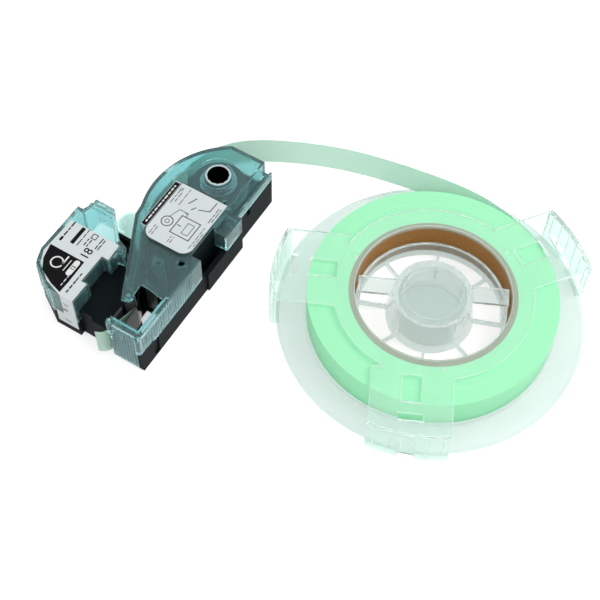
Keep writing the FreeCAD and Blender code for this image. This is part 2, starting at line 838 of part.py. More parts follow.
    # Grip ribs on the right side and the front
    rib = box_corners(
        5, size["right_y"] - size["rib_height"], 5 + size["rib_width"], size["right_y"] + 0.2
    )
    side_rib = pad_outline(body, rib, cover_low, case_top - 1.2)
    side_length = (size["side_rib_count"] - 1) * size["side_rib_pitch"]
    row_pattern(body, [side_rib], "X_Axis", size["side_rib_count"], side_length)
    rib = box_corners(-size["rib_height"], 1.8, 0.2, 1.8 + size["rib_width"])
    front_rib = pad_outline(body, rib, 0.6, case_top - 3)
    front_length = (size["front_rib_count"] - 1) * size["front_rib_pitch"]
    row_pattern(body, [front_rib], "Y_Axis", size["front_rib_count"], front_length)
    corner = box_corners(-1, size["right_y"] - 1, size["corner_x"] + size["seam_gap"], size["rail_y"])
    corner_top = size["split_height"] + size["corner_rise"] + size["seam_gap"]
    cut_outline(body, corner, cover_low - 1, corner_top)
    return body


def cover_pips():
    inset = size["lobe_radius"] - 2.9
    spots = []
    for degrees in (69.0, 110.0):
        angle = math.radians(degrees)
        spots.append(
            (size["lobe_x"] + inset * math.cos(angle), size["lobe_y"] + inset * math.sin(angle))
        )
    spots.append((size["back_x"] - 3.1, size["back_y"] + 8))
    for x in (43.9, 26.7):
        spots.append((as_size(x), slope_y(x, -2.9)))
    return spots


def make_left_cover():
    body = new_body("left_cover", case_place)
    tab_foot_x = size["tab_x"] - 3.4
    outline = [
        (0, size["left_y"]),
        (size["step_one_x"], size["left_y"]),
        (size["step_one_x"], size["step_one_y"]),
        (size["step_two_x"], size["step_one_y"]),
        (size["step_two_x"], size["step_two_y"]),
        (size["step_three_x"], size["step_two_y"]),
        (size["step_three_x"], size["step_three_y"]),
        (size["hook_x"] - 0.5, size["hook_y"] + 0.3),
        (size["hook_x"] + 2.4, size["step_one_y"] + 0.6),
        (tab_foot_x, size["tab_y"]),
        (size["tab_x"], size["tab_y"] + 3),
        (size["tab_x"], size["tab_end_y"]),
        (size["tab_step_x"], size["tab_end_y"]),
        (size["left_back_x"], size["tab_end_y"] + 1.1),
        (size["left_back_x"], size["left_end_y"]),
        (size["left_corner_x"] + 7.7, size["left_end_y"]),
        (size["left_corner_x"], size["left_corner_y"]),
        (0, size["front_corner_y"]),
    ]
    block = pad_outline(body, outline, left_low, case_top)
    shell(body, block, left_low, size["cover_wall"])
    apron = [
        (size["step_two_x"] + 0.1, size["step_three_y"] - 1),
        (size["hook_x"] + 4.5, size["step_three_y"] - 1),
        (size["hook_x"] + 4.5, size["step_one_y"] + 2.2),
        (size["hook_x"], size["step_one_y"]),
        (size["step_three_x"], size["step_two_y"] + 1.6),
    ]
    cut_outline(body, apron, left_low - 1, size["deck_height"] + size["seam_gap"])
    tab_plate = [
        (size["tab_root_x"] - 1.5, size["tab_y"] + 0.2),
        (tab_foot_x, size["tab_y"] + 0.2),
        (size["tab_x"] - 0.2, size["tab_y"] + 3.1),
        (size["tab_x"] - 0.2, size["tab_end_y"] - 0.2),
        (size["tab_root_x"] - 1.5, size["tab_end_y"] - 0.2),
    ]
    pad_outline(body, tab_plate, ceiling - size["tab_drop"], ceiling)
    tab_top = box_corners(
        size["tab_root_x"], size["tab_y"] - 1, size["tab_x"] + 1, size["tab_end_y"] + 1
    )
    cut_outline(body, tab_top, case_top - size["tab_drop"], case_top)
    slot = box_corners(
        size["tab_root_x"] + 1, size["tab_end_y"] - 7, size["tab_x"] - 0.9, size["tab_end_y"] - 2.2
    )
    cut_outline(body, slot, ceiling - size["tab_drop"] - 0.5, case_top)
    # Fins round the front left corner
    fin_count = 6
    for number in range(fin_count):
        part = (number + 0.5) / fin_count
        x = size["left_corner_x"] * part
        y = size["front_corner_y"] + (size["left_corner_y"] - size["front_corner_y"]) * part
        pad_circles(body, x, y, [0.55], left_low, case_top - 1.5)
    cut_circles(
        body, size["left_corner_x"] + 0.4, size["left_corner_y"] - 0.6, [1.4], case_top - 0.8, case_top
    )
    for x, y in ((size["tab_root_x"] - 5, size["tab_y"] + 2.5), (size["left_back_x"] - 5, size["tab_end_y"])):
        pad_circles(body, x, y, [1.1], ceiling, case_top + 0.4)
    return body




# Stickers


def make_front_label():
    body = new_body("front_label", case_place)
    thick = size["sticker_thickness"]
    edge = 0.7
    face = [
        (-thick, size["left_y"] + edge),
        (size["step_one_x"] - edge, size["left_y"] + edge),
        (size["step_one_x"] - edge, size["step_one_y"] + edge),
        (size["step_two_x"] + edge, size["step_one_y"] + edge),
        (size["step_two_x"] + edge, size["step_two_y"] + edge),
        (size["hook_x"] - 1.3, size["step_two_y"] + 1.4),
        (size["hook_x"] - 1.1, size["left_end_y"] - 2.4),
        (size["left_corner_x"] + 7.4, size["left_end_y"] - 1.8),
        (size["left_corner_x"] + 1.2, size["left_corner_y"] - 2.2),
        (3.2, size["front_corner_y"] + 3.4),
        (-thick, size["front_corner_y"] - 6.6),
    ]
    pad_outline(body, face, case_top, case_top + thick)
    flap = box_corners(-thick, size["left_y"] + edge, 0, size["front_corner_y"] - 6.6)
    pad_outline(body, flap, size["split_height"], case_top + thick)
    foot = box_corners(-thick, size["left_y"] + edge, 0, size["front_corner_y"] - 2)
    pad_outline(body, foot, size["front_label_low"], size["split_height"])
    return body


def make_instruction_label():
    body = new_body("instruction_label", case_place)
    low = case_top + size["pad_height"]
    corner = size["pad_corner"] - 0.5
    face = [
        (size["pad_x"] + 0.5 + corner, size["pad_y"] + 0.3, corner),
        (size["pad_end"] - 0.4, size["pad_y"] + 0.3),
        (size["pad_end"] - 0.4, size["pad_top_y"] - 0.4),
        (size["pad_x"] + 0.5 + corner, size["pad_top_y"] - 0.4),
        (size["pad_x"] + 0.5, size["pad_top_y"] - 0.4 - corner, corner),
        (size["pad_x"] + 0.5, size["pad_y"] + 0.3 + corner),
    ]
    pad_outline(body, face, low, low + size["sticker_thickness"])
    return body


def make_band_label():
    body = new_body("band_label", case_place)
    strip = box_corners(
        size["pad_x"] + 5.6, size["pad_top_y"] + 0.3, size["pad_end"], size["pad_top_y"] + 3.9
    )
    pad_outline(body, strip, case_top, case_top + size["sticker_thickness"])
    return body


# Ribbon spools, their films and the supply brake


def make_supply_spool():
    body = new_body("supply_spool", spool_place("supply"))
    foot = floor_top + 0.8
    top = case_top - 0.9
    wide = size["socket_radius"] + size["socket_step"]
    profile = [
        (size["socket_radius"], 0.4),
        (size["spool_radius"], 0.4),
        (size["spool_radius"], foot),
        (size["spool_flange"], foot),
        (size["spool_flange"], film_low),
        (size["spool_radius"], film_low),
        (size["spool_radius"], film_high),
        (size["spool_flange"], film_high),
        (size["spool_flange"], film_high + size["flange_thickness"]),
        (size["spool_radius"], film_high + size["flange_thickness"]),
        (size["spool_radius"], top),
        (wide, top),
        (wide, teeth_low),
        (size["socket_radius"], teeth_low),
    ]
    revolve(body, profile)
    groove = box_corners(
        wide - 0.5, size["tooth_width"] / -2, wide + size["tooth_depth"], size["tooth_width"] / 2
    )
    tooth = cut_outline(body, groove, teeth_low, top)
    polar_pattern(body, [tooth], size["socket_teeth"])
    return body


def make_takeup_spool():
    body = new_body("takeup_spool", spool_place("takeup"))
    foot = floor_top + 0.8
    top = film_high + 2
    wide = size["takeup_socket"] + size["socket_step"]
    profile = [
        (size["takeup_socket"], 0.4),
        (size["takeup_radius"], 0.4),
        (size["takeup_radius"], foot),
        (size["spool_flange"] - 0.4, foot),
        (size["spool_flange"] - 0.4, film_low),
        (size["takeup_radius"], film_low),
        (size["takeup_radius"], top),
        (0, top),
        (0, top - 2),
        (wide, top - 2),
        (wide, teeth_low),
        (size["takeup_socket"], teeth_low),
    ]
    revolve(body, profile)
    groove = box_corners(
        wide - 0.5, size["tooth_width"] / -2, wide + size["tooth_depth"], size["tooth_width"] / 2
    )
    tooth = cut_outline(body, groove, teeth_low, top - 2)
    polar_pattern(body, [tooth], size["socket_teeth"] / 2)
    return body


def spool_place(kind):
    return (size[f"{kind}_x"] - size["datum_x"], size[f"{kind}_y"] - size["datum_y"], as_size(0))


def make_ring(label, spot, outer, inner, low, high):
    body = new_body(label, spot)
    pad_circles(body, 0, 0, [outer, inner], low, high)
    return body


def make_brake_spring():
    """A helical spring of square wire under the cover's ceiling."""
    wire = size["spring_wire"].value
    near = size["spool_flange"].value - size["spring_inset"].value
    low = film_high.value + size["flange_thickness"].value + size["washer_top"].value + 0.02
    high = ceiling.value - wire - 0.02
    helix = Part.makeHelix((high - low) / size["spring_turns"].value, high - low, near)
    helix.translate(FreeCAD.Vector(0, 0, low))
    corners = [
        FreeCAD.Vector(x, 0, z)
        for x, z in ((near, low), (near + wire, low), (near + wire, low + wire), (near, low + wire))
    ]
    section = Part.makePolygon(corners + corners[:1])
    sweep = Part.Wire(helix.Edges).makePipeShell([section], True, True)
    return make_feature("brake_spring", sweep, spool_place("supply"))


def make_feature(label, shape, spot):
    feature = document.addObject("Part::Feature", label)
    feature.Label = label
    feature.Shape = shape
    place(feature, spot)
    return feature


# Platen, idler and guides of the case


def make_rod(label, x, y, radius, low, high):
    spot = (x - size["datum_x"], y - size["datum_y"], as_size(0))
    rod = document.addObject("Part::Cylinder", label)
    rod.Label = label
    bind(rod, "Radius", radius)
    bind(rod, "Height", as_size(high) - low)
    place(rod, (spot[0], spot[1], as_size(low)))
    return rod


def make_platen_rubber():
    spot = (size["platen_x"] - size["datum_x"], size["platen_y"] - size["datum_y"], as_size(0))
    return make_ring(
        "platen_rubber",
        spot,
        size["platen_radius"],
        size["platen_shaft_radius"],
        floor_top + 1.2,
        ceiling - 3,
    )


def make_guide_roller():
    spot = (size["idler_x"] - size["datum_x"], size["idler_y"] - size["datum_y"], as_size(0))
    bore = size["idler_pin_radius"] + size["journal_clearance"]
    body = new_body("guide_roller", spot)
    pad_circles(body, 0, 0, [size["idler_radius"], bore], film_low + 0.3, ceiling - 0.5)
    return body


def make_exit_guide():
    body = new_body("exit_guide", case_place)
    bar = box_corners(
        size["deck_front_x"] + 2.6,
        size["deck_low_y"] - 1.4,
        size["slope_foot_x"] - size["seam_gap"],
        size["deck_low_y"] - size["seam_gap"],
    )
    feature = pad_outline(body, bar, floor_top, size["deck_height"] + 3)
    x = size["slope_foot_x"] - size["seam_gap"]
    round_uprights(body, feature, [(x, size["deck_low_y"] - 1.4)], 0.9)
    return body


def make_ribbon_guide():
    body = new_body("ribbon_guide", case_place)
    x = size["floor_hole_end"] + 1.2
    y = size["floor_hole_top"] - 3.2
    plate = [(x, y), (x + 1.2, y), (x + 1.2, y + 5.8), (x + 3.4, y + 7), (x + 2.8, y + 8), (x, y + 6.6)]
    pad_outline(body, plate, floor_top, film_high + 1.5)
    return body


def make_tape_guide():
    body = new_body("tape_guide", case_place)
    wall = 1.2
    left = size["hook_x"] + 8.7
    right = size["lobe_end_x"] - 3
    low = size["tab_y"] - 4
    outer = right - left
    bend = outer / 2 * 1.15
    inner_bend = (outer - 2 * wall) / 2 * 1.15
    guide = [
        (right, lobe_end_y + 0.5),
        (right, low),
        (left, low, bend),
        (left, low - 3.4),
        (left + wall, low - 3.4),
        (left + wall, low - 0.4),
        (right - wall, low - 0.4, inner_bend, -1),
        (right - wall, lobe_end_y + 0.5),
    ]
    sketch = new_sketch(body, 0)
    add_outline(sketch, guide)
    pad(body, sketch, size["rim_height"] + 1)
    cover_side = [
        (size["hook_x"] + 7, size["tab_y"] - 5.5),
        (size["hook_x"] + 14, size["tab_y"] + 0.7),
        (size["hook_x"] + 7, size["tab_y"] + 0.7),
    ]
    cut_outline(body, cover_side, 0, size["rim_height"] + 1)
    return body


# The tape between the roll and the exit slot, and the ribbon between its spools


def on_circle(x, y, radius, degrees):
    angle = math.radians(degrees)
    return FreeCAD.Vector(x + radius * math.cos(angle), y + radius * math.sin(angle), 0)


def tangent_angle(start, centre, radius, side):
    """The angle of the touching point on a circle for a line that arrives from start.

    Side 1 goes round the circle counter-clockwise and side -1 clockwise.
    """
    back = start - centre
    spread = math.degrees(math.acos(radius / back.Length))
    return math.degrees(math.atan2(back.y, back.x)) + side * spread


def arc_edge(centre, radius, first, last, side):
    middle = first + side * ((side * (last - first)) % 360) / 2
    points = [on_circle(centre.x, centre.y, radius, angle) for angle in (first, middle, last)]
    return Part.Arc(*points).toShape()


def thread(start, stations, end):
    """Lines and arcs of a band that runs from start to end round circles on its way."""
    edges = []
    here = start
    for number, (centre, radius, side) in enumerate(stations):
        arrive = tangent_angle(here, centre, radius, side)
        touch = on_circle(centre.x, centre.y, radius, arrive)
        if number + 1 < len(stations):
            leave = common_tangent(centre, radius, side, *stations[number + 1])
        else:
            leave = tangent_angle(end, centre, radius, -side)
        edges.append(Part.makeLine(here, touch))
        edges.append(arc_edge(centre, radius, arrive, leave, side))
        here = on_circle(centre.x, centre.y, radius, leave)
    edges.append(Part.makeLine(here, end))
    return edges


def common_tangent(centre, radius, side, next_centre, next_radius, next_side):
    """The angle at which a band leaves one circle on its way to the next."""
    way = next_centre - centre
    heading = math.degrees(math.atan2(way.y, way.x))
    gap = radius - side * next_side * next_radius
    return heading - side * math.degrees(math.acos(gap / way.Length))


def moved_edge(edge, shift):
    """A copy of a plan edge, moved sideways to the left of its direction."""
    count = 2 if edge.Curve.TypeId == "Part::GeomLine" else 3
    if edge.Curve.TypeId == "Part::GeomBSplineCurve":
        count = int(edge.Length / spline_station) + 2
    points = []
    for number in range(count):
        share = number / (count - 1)
        at = edge.FirstParameter + (edge.LastParameter - edge.FirstParameter) * share
        way = edge.tangentAt(at)
        points.append(edge.valueAt(at) + FreeCAD.Vector(-way.y, way.x, 0) * shift)
    if count == 2:
        return Part.makeLine(*points)
    if count == 3:
        return Part.Arc(*points).toShape()
    curve = Part.BSplineCurve()
    curve.interpolate(Points=points)
    return curve.toShape()


def band(edges, thickness, width):
    """A strip on edge along plan edges, with the edges along the middle of its thickness."""
    left = [moved_edge(edge, thickness / 2) for edge in edges]
    right = [moved_edge(edge, -thickness / 2) for edge in edges]
    ends = []
    for one, other in ((left[0], right[0]), (left[-1], right[-1])):
        number = 0 if one is left[0] else -1
        ends.append(Part.makeLine(one.Vertexes[number].Point, other.Vertexes[number].Point))
    plan = Part.Wire(Part.__sortEdges__(left + right + ends))
    return Part.Face(plan).extrude(FreeCAD.Vector(0, 0, width))


spline_station = 9.0
# Where the tape still lies against its roll, and its free run from there to the case
wrap_angles = (-34, -27, -20)
free_tape_path = [
    (165.6, -97.0),
    (165.2, -80.0),
    (162.9, -61.0),
    (154.4, -22.0),
    (145.2, 1.0),
    (136.0, 17.8),
    (126.0, 29.6),
    (114.0, 36.6),
    (98.0, 40.4),
]


def plan_point(x, y):
    return FreeCAD.Vector(as_size(x).value, as_size(y).value, 0)


def make_tape_web():
    reel = plan_point(size["reel_x"], size["reel_y"])
    clearance = size["spool_clearance"].value
    half = size["tape_thickness"].value / 2
    wrap = size["roll_radius"].value + clearance + half
    free_points = [on_circle(reel.x, reel.y, wrap, angle) for angle in wrap_angles]
    free_points += [FreeCAD.Vector(x, y, 0) for x, y in free_tape_path]
    lobe = plan_point(size["lobe_x"], size["lobe_y"])
    inside = size["lobe_radius"].value - size["wall_thickness"].value - 2 * clearance
    post = plan_point(*tape_post())
    platen = plan_point(size["platen_x"], size["platen_y"])
    tail = plan_point(size["tail_x"], size["tail_y"])
    stations = [
        (lobe, inside, 1),
        (post, size["post_radius"].value + half + 0.1, 1),
        (platen, size["platen_radius"].value + clearance + half, -1),
        (tail, size["tail_radius"].value, -1),
    ]
    tail_end = plan_point(size["tail_x"] - size["tail_radius"] - 0.3, size["tail_y"] - 0.3)
    threaded = thread(free_points[-1], stations, tail_end)
    first = FreeCAD.Vector(-(free_points[0] - reel).y, (free_points[0] - reel).x, 0)
    last = threaded[0].tangentAt(threaded[0].FirstParameter)
    curve = Part.BSplineCurve()
    curve.interpolate(
        Points=free_points, InitialTangent=first.normalize(), FinalTangent=last, Scale=False
    )
    edges = [curve.toShape()] + threaded
    shape = band(edges, size["tape_thickness"].value, size["tape_width"].value)
    return make_feature("tape_web", shape, (case_place[0], case_place[1], size["tape_floor"]))


def make_ribbon_film():
    supply = plan_point(size["supply_x"], size["supply_y"])
    takeup = plan_point(size["takeup_x"], size["takeup_y"])
    clearance = size["spool_clearance"].value
    film = size["film_thickness"].value
    pin = ribbon_pin_radius.value + film
    platen = plan_point(size["platen_x"], size["platen_y"])
    platen_gap = size["platen_radius"].value + 2 * clearance + size["tape_thickness"].value + film
    stations = [
        (plan_point(*ribbon_pin_one()), pin, 1),
        (platen, platen_gap, -1),
        (plan_point(*ribbon_pin_two()), pin, 1),
        (plan_point(*ribbon_pin_three()), pin, 1),
        (plan_point(*ribbon_pin_four()), pin, 1),
        (plan_point(size["idler_x"], size["idler_y"]), size["idler_radius"].value + clearance + film, -1),
    ]
    supply_gap = size["supply_film_radius"].value + clearance
    takeup_gap = size["takeup_film_radius"].value + clearance
    leave = common_tangent(supply, supply_gap, 1, *stations[0])
    start = on_circle(supply.x, supply.y, supply_gap, leave)
    centre, radius, side = stations[-1]
    out = common_tangent(centre, radius, side, takeup, takeup_gap, 1)
    end_angle = out if side > 0 else out + 180
    end = on_circle(takeup.x, takeup.y, takeup_gap, end_angle)
    edges = thread(start, stations, end)
    shape = band(edges, film, size["film_width"].value)
    return make_feature("ribbon_film", shape, (case_place[0], case_place[1], film_low))


# The roll of tape and its holder


def make_holder_base():
    body = new_body("holder_base", reel_place)
    wall_out = size["inner_wall_radius"]
    wall_in = wall_out - size["inner_wall_thickness"]
    top = size["disc_bottom"] + size["disc_thickness"]
    rim_low = size["disc_bottom"] - size["disc_rim_drop"]
    rim_in = size["disc_radius"] - size["disc_rim"]
    guard_out = size["guard_radius"] + size["guard_width"]
    guard_top = top + size["guard_height"]
    profile = [
        (wall_in, 0),
        (wall_out + 2, 0),
        (wall_out + 2, size["disc_bottom"]),
        (rim_in, size["disc_bottom"]),
        (rim_in, rim_low),
        (size["disc_radius"], rim_low),
        (size["disc_radius"], top),
        (guard_out, top),
        (guard_out, guard_top),
        (size["guard_radius"], guard_top),
        (size["guard_radius"], top),
        (wall_out, top),
        (wall_out, size["inner_wall_height"]),
        (wall_in, size["inner_wall_height"]),
    ]
    revolve(body, profile)
    tape_gap = box_corners(
        size["guard_radius"] - 5,
        -size["guard_gap"] / 2,
        guard_out + 5,
        size["guard_gap"] / 2,
    )
    cut_outline(body, tape_gap, top, guard_top, size["guard_gap_angle"])
    half = size["spoke_width"] / 2
    spoke = box_corners(size["hub_foot_radius"] - 2, -half, wall_in + 0.5, half)
    spoke_pad = pad_outline(body, spoke, 0, size["spoke_height"], size["spoke_angle"])
    polar_pattern(body, [spoke_pad], size["spoke_count"])
    dish = size["hub_height"] - size["hub_dish_depth"]
    hub = [
        (size["hub_bore_radius"], 0),
        (size["hub_foot_radius"], 0),
        (size["hub_top_radius"], size["hub_height"]),
        (size["hub_dish_radius"], size["hub_height"]),
        (size["hub_dish_radius"] - 0.6, dish),
        (0, dish),
        (0, dish - size["hub_roof"]),
        (size["hub_bore_radius"], dish - size["hub_roof"]),
    ]
    revolve(body, hub)
    low = size["bridge_offset"] - size["bridge_width"] / 2
    high = size["bridge_offset"] + size["bridge_width"] / 2
    reach = size["bridge_reach"]
    inner = size["hub_dish_radius"] + 2
    bar_low = size["hub_height"] - size["hub_roof"]
    for near, far in ((inner, reach), (-reach, -inner)):
        bar = box_corners(near, low, far, high)
        pad_outline(body, bar, bar_low, size["hub_height"], size["bridge_angle"])
    for near, far in ((reach - 1.7, reach), (-reach, -reach + 1.7)):
        post = box_corners(near, low, far, high)
        pad_outline(body, post, 0, size["hub_height"] - 0.5, size["bridge_angle"])
    return body


arms = [
    {"angle": size["wide_arm_angle"], "offset": size["wide_arm_offset"], "width": size["wide_arm_width"]},
    {"angle": size["near_arm_angle"], "offset": size["near_arm_offset"], "width": size["arm_width"]},
    {"angle": size["far_arm_angle"], "offset": size["far_arm_offset"], "width": size["arm_width"]},
]


def make_holder_frame():
    body = new_body("holder_frame", reel_place)
    low = size["ring_height"]
    top = low + size["ring_thickness"]
    pad_circles(body, 0, 0, [size["ring_outer"], size["ring_inner"]], low, top)
    far = size["clip_radius"] + 6
    clip_in = size["clip_radius"] - size["clip_thickness"]
    hook_in = clip_in - size["hook_reach"]
    for arm in arms:
        width = arm["width"]
        right = arm["offset"] - width / 2
        left = arm["offset"] + width / 2
        plate = box_corners(size["ring_outer"] - 5, right, far, left)
        pad_outline(body, plate, low, top, arm["angle"])
        leg = box_corners(size["ring_outer"] + 15, right, far, left)
        pad_outline(body, leg, 0, low + 0.2, arm["angle"])
    cut_circles(body, 0, 0, [clip_in], size["hook_thickness"], low)
    cut_circles(body, 0, 0, [hook_in], 0, size["hook_thickness"])
    cut_circles(body, 0, 0, [size["clip_radius"] + 25, size["clip_radius"]], 0, top)
    for arm in arms:
        offset = arm["offset"]
        window = box_corners(
            size["window_start"],
            offset - size["window_width"] / 2,
            size["window_end"],
            offset + size["window_width"] / 2,
        )
        cut_outline(body, window, low, top, arm["angle"])
        slot = box_corners(
            size["slot_start"],
            offset - size["slot_width"] / 2,
            size["slot_end"],
            offset + size["slot_width"] / 2,
        )
        cut_outline(body, slot, low, top, arm["angle"])
        notch = box_corners(
            hook_in - 6,
            offset - size["hook_notch"] / 2,
            far,
            offset + size["hook_notch"] / 2,
        )
        cut_outline(body, notch, 0, size["hook_notch_height"], arm["angle"])
    sketch = new_sketch(body, top, size["peg_angle"])
    add_circle(sketch, size["peg_circle"], 0, size["peg_radius"])
    peg = pad(body, sketch, size["peg_height"])
    polar_pattern(body, [peg], size["peg_count"])
    return body


def make_roll_core():
    outer = size["core_inner"] + size["core_wall"]
    return make_ring("roll_core", reel_place, outer, size["core_inner"], size["tape_floor"], tape_top)


def make_tape_roll():
    inner = size["core_inner"] + size["core_wall"]
    return make_ring("tape_roll", reel_place, size["roll_radius"], inner, size["tape_floor"], tape_top)


pieces = [
    make_lower_case(),
    make_right_cover(),
    make_left_cover(),
    make_front_label(),
    make_instruction_label(),
    make_band_label(),
    make_supply_spool(),
    make_ring(
        "supply_film",
        spool_place("supply"),
        size["supply_film_radius"],
        size["spool_radius"],
        film_low,
        film_high,
    ),
    make_takeup_spool(),
    make_ring(
        "takeup_film",
        spool_place("takeup"),
        size["takeup_film_radius"],
        size["takeup_radius"],
        film_low,
        film_high,
    ),
    make_ribbon_film(),
    make_ring(
        "brake_washer",
        spool_place("supply"),
        size["spool_flange"],
        size["spool_radius"] + size["spool_clearance"],
        film_high + size["flange_thickness"] + size["washer_low"],
        film_high + size["flange_thickness"] + size["washer_top"],
    ),
    make_brake_spring(),
    make_rod(
        "platen_shaft",
        size["platen_x"],
        size["platen_y"],
        size["platen_shaft_radius"],
        as_size(0.4),
        ceiling - 0.5,
    ),
    make_platen_rubber(),
    make_guide_roller(),
    make_rod(
        "guide_pin",
        size["idler_x"],
        size["idler_y"],
        size["idler_pin_radius"],
        floor_top,
        case_top + 0.4,
    ),
    make_ribbon_guide(),
    make_exit_guide(),
    make_tape_guide(),
    make_tape_web(),
    make_tape_roll(),
    make_roll_core(),
    make_holder_base(),
    make_holder_frame(),
]

document.recompute()

faults = []
for item in document.Objects:
    if {"Invalid", "Error"} & set(item.State):
        faults.append(f"{item.Label} {item.State}")
for piece in pieces:
    shape = piece.Shape
    if shape.isNull() or not shape.isValid() or not shape.Solids:
        faults.append(f"{piece.Label} has no sound solid")
if faults:
    raise RuntimeError("; ".join(faults))

os.makedirs("parts", exist_ok=True)
for piece in pieces:
    piece.Shape.exportStep(f"parts/{piece.Label}.step")
    print(piece.Label, len(piece.Shape.Solids), round(piece.Shape.Volume, 1))
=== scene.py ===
import bmesh
import bpy
import json
import math
from mathutils import Matrix, Vector


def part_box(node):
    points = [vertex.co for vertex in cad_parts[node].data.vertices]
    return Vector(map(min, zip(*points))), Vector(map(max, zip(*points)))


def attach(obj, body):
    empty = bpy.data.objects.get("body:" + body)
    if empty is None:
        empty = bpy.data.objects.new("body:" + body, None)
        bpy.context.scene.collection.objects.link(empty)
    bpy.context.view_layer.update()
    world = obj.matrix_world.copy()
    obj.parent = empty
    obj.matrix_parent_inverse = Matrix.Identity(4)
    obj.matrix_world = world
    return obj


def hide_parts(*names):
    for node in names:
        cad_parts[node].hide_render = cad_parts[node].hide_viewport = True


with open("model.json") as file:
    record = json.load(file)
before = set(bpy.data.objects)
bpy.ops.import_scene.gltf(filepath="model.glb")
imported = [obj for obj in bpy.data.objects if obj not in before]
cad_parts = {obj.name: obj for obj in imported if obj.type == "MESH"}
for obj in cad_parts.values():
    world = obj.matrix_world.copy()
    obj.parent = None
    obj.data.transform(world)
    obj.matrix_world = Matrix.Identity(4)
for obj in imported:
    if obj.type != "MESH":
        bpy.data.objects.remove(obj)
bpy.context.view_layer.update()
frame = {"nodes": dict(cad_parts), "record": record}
nodes = frame["nodes"]

mm = 0.001
caseDatum = (45.2, 4.5)  # main locating hole, from the case's front right corner
reelCentre = (100.8, -104.6)
supplyCentre = (100.0, 19.4)
takeupCentre = (66.5, 19.0)

print("stage: camera")

camera = {
    "position": (-0.26340, -0.21769, 0.53925),
    "forward": (0.4599, 0.2640, -0.8478),
    "right": (0.49785, -0.86726, 0.0),
    "roll": 0.031,
    "lens": 75.96,
}


def addCamera():
    forward = Vector(camera["forward"]).normalized()
    right = Vector(camera["right"]).normalized()
    up = right.cross(forward)
    c, s = math.cos(camera["roll"]), math.sin(camera["roll"])
    turnedRight = right * c + up * s
    turnedUp = up * c - right * s
    data = bpy.data.cameras.new("camera")
    data.lens = camera["lens"]
    data.sensor_width = 36
    data.clip_start = 0.01
    data.clip_end = 20
    viewer = bpy.data.objects.new("camera", data)
    turn = Matrix((turnedRight, turnedUp, -forward)).transposed().to_4x4()
    viewer.matrix_world = Matrix.Translation(camera["position"]) @ turn
    bpy.context.scene.collection.objects.link(viewer)
    bpy.context.scene.camera = viewer


addCamera()


def casePoint(x, y, z=0.0):
    return Vector(((x - caseDatum[0]) * mm, (y - caseDatum[1]) * mm, z * mm))


print("stage: shared shader groups")


def newGroup(name, inputs, outputs):
    group = bpy.data.node_groups.new(name, "ShaderNodeTree")
    for label, kind, value in inputs:
        socket = group.interface.new_socket(name=label, in_out="INPUT", socket_type=kind)
        socket.default_value = value
    for label, kind in outputs:
        group.interface.new_socket(name=label, in_out="OUTPUT", socket_type=kind)
    return group, group.nodes.new("NodeGroupInput"), group.nodes.new("NodeGroupOutput")


def mathNode(tree, operation, first, second=None, third=None):
    node = tree.nodes.new("ShaderNodeMath")
    node.operation = operation
    for index, value in enumerate((first, second, third)):
        if value is None:
            continue
        if isinstance(value, (int, float)):
            node.inputs[index].default_value = value
        else:
            tree.links.new(value, node.inputs[index])
    return node.outputs[0]


def noiseNode(tree, vector, scale, detail=3.0, roughness=0.5):
    node = tree.nodes.new("ShaderNodeTexNoise")
    node.inputs["Detail"].default_value = detail
    node.inputs["Roughness"].default_value = roughness
    tree.links.new(vector, node.inputs["Vector"])
    if isinstance(scale, (int, float)):
        node.inputs["Scale"].default_value = scale
    else:
        tree.links.new(scale, node.inputs["Scale"])
    return node.outputs["Fac"]


def rangeNode(tree, value, low, high, outLow, outHigh):
    node = tree.nodes.new("ShaderNodeMapRange")
    for index, amount in enumerate((value, low, high, outLow, outHigh)):
        if isinstance(amount, (int, float)):
            node.inputs[index].default_value = amount
        else:
            tree.links.new(amount, node.inputs[index])
    return node.outputs[0]


def mixColours(tree, factor, first, second):
    node = tree.nodes.new("ShaderNodeMix")
    node.data_type = "RGBA"
    for index, value in ((0, factor), (6, first), (7, second)):
        if isinstance(value, (int, float)):
            node.inputs[index].default_value = value
        elif isinstance(value, tuple):
            node.inputs[index].default_value = (*value, 1.0)[:4]
        else:
            tree.links.new(value, node.inputs[index])
    return node.outputs[2]


scuffs = {"scale": 260.0, "detail": 5.0, "roughness": 0.7, "start": 0.58, "full": 0.72, "depth": -0.4,
          "share": 0.6}
turnNoise = {"bands": 420.0, "layers": 900.0}


def makeMouldedGroup():
    # fine sparkle grain, slow cloudiness and faint scuffs of a moulded surface
    group, given, out = newGroup(
        "mouldedSurface",
        [("Grain Scale", "NodeSocketFloat", 900.0), ("Cloud Scale", "NodeSocketFloat", 45.0),
         ("Roughness", "NodeSocketFloat", 0.3), ("Variation", "NodeSocketFloat", 0.08)],
        [("Roughness", "NodeSocketFloat"), ("Height", "NodeSocketFloat"), ("Cloud", "NodeSocketFloat")],
    )
    coords = group.nodes.new("ShaderNodeTexCoord").outputs["Object"]
    grain = noiseNode(group, coords, given.outputs["Grain Scale"], 2.0)
    cloud = noiseNode(group, coords, given.outputs["Cloud Scale"], 4.0, 0.6)
    scuff = noiseNode(group, coords, scuffs["scale"], scuffs["detail"], scuffs["roughness"])
    worn = rangeNode(group, scuff, scuffs["start"], scuffs["full"], 0.0, 1.0)
    swing = mathNode(group, "MULTIPLY_ADD", cloud, given.outputs["Variation"], given.outputs["Roughness"])
    half = mathNode(group, "MULTIPLY", given.outputs["Variation"], scuffs["share"])
    rough = mathNode(group, "MULTIPLY_ADD", worn, half, swing)
    height = mathNode(group, "MULTIPLY_ADD", worn, scuffs["depth"], grain)
    group.links.new(rough, out.inputs["Roughness"])
    group.links.new(height, out.inputs["Height"])
    group.links.new(cloud, out.inputs["Cloud"])
    return group


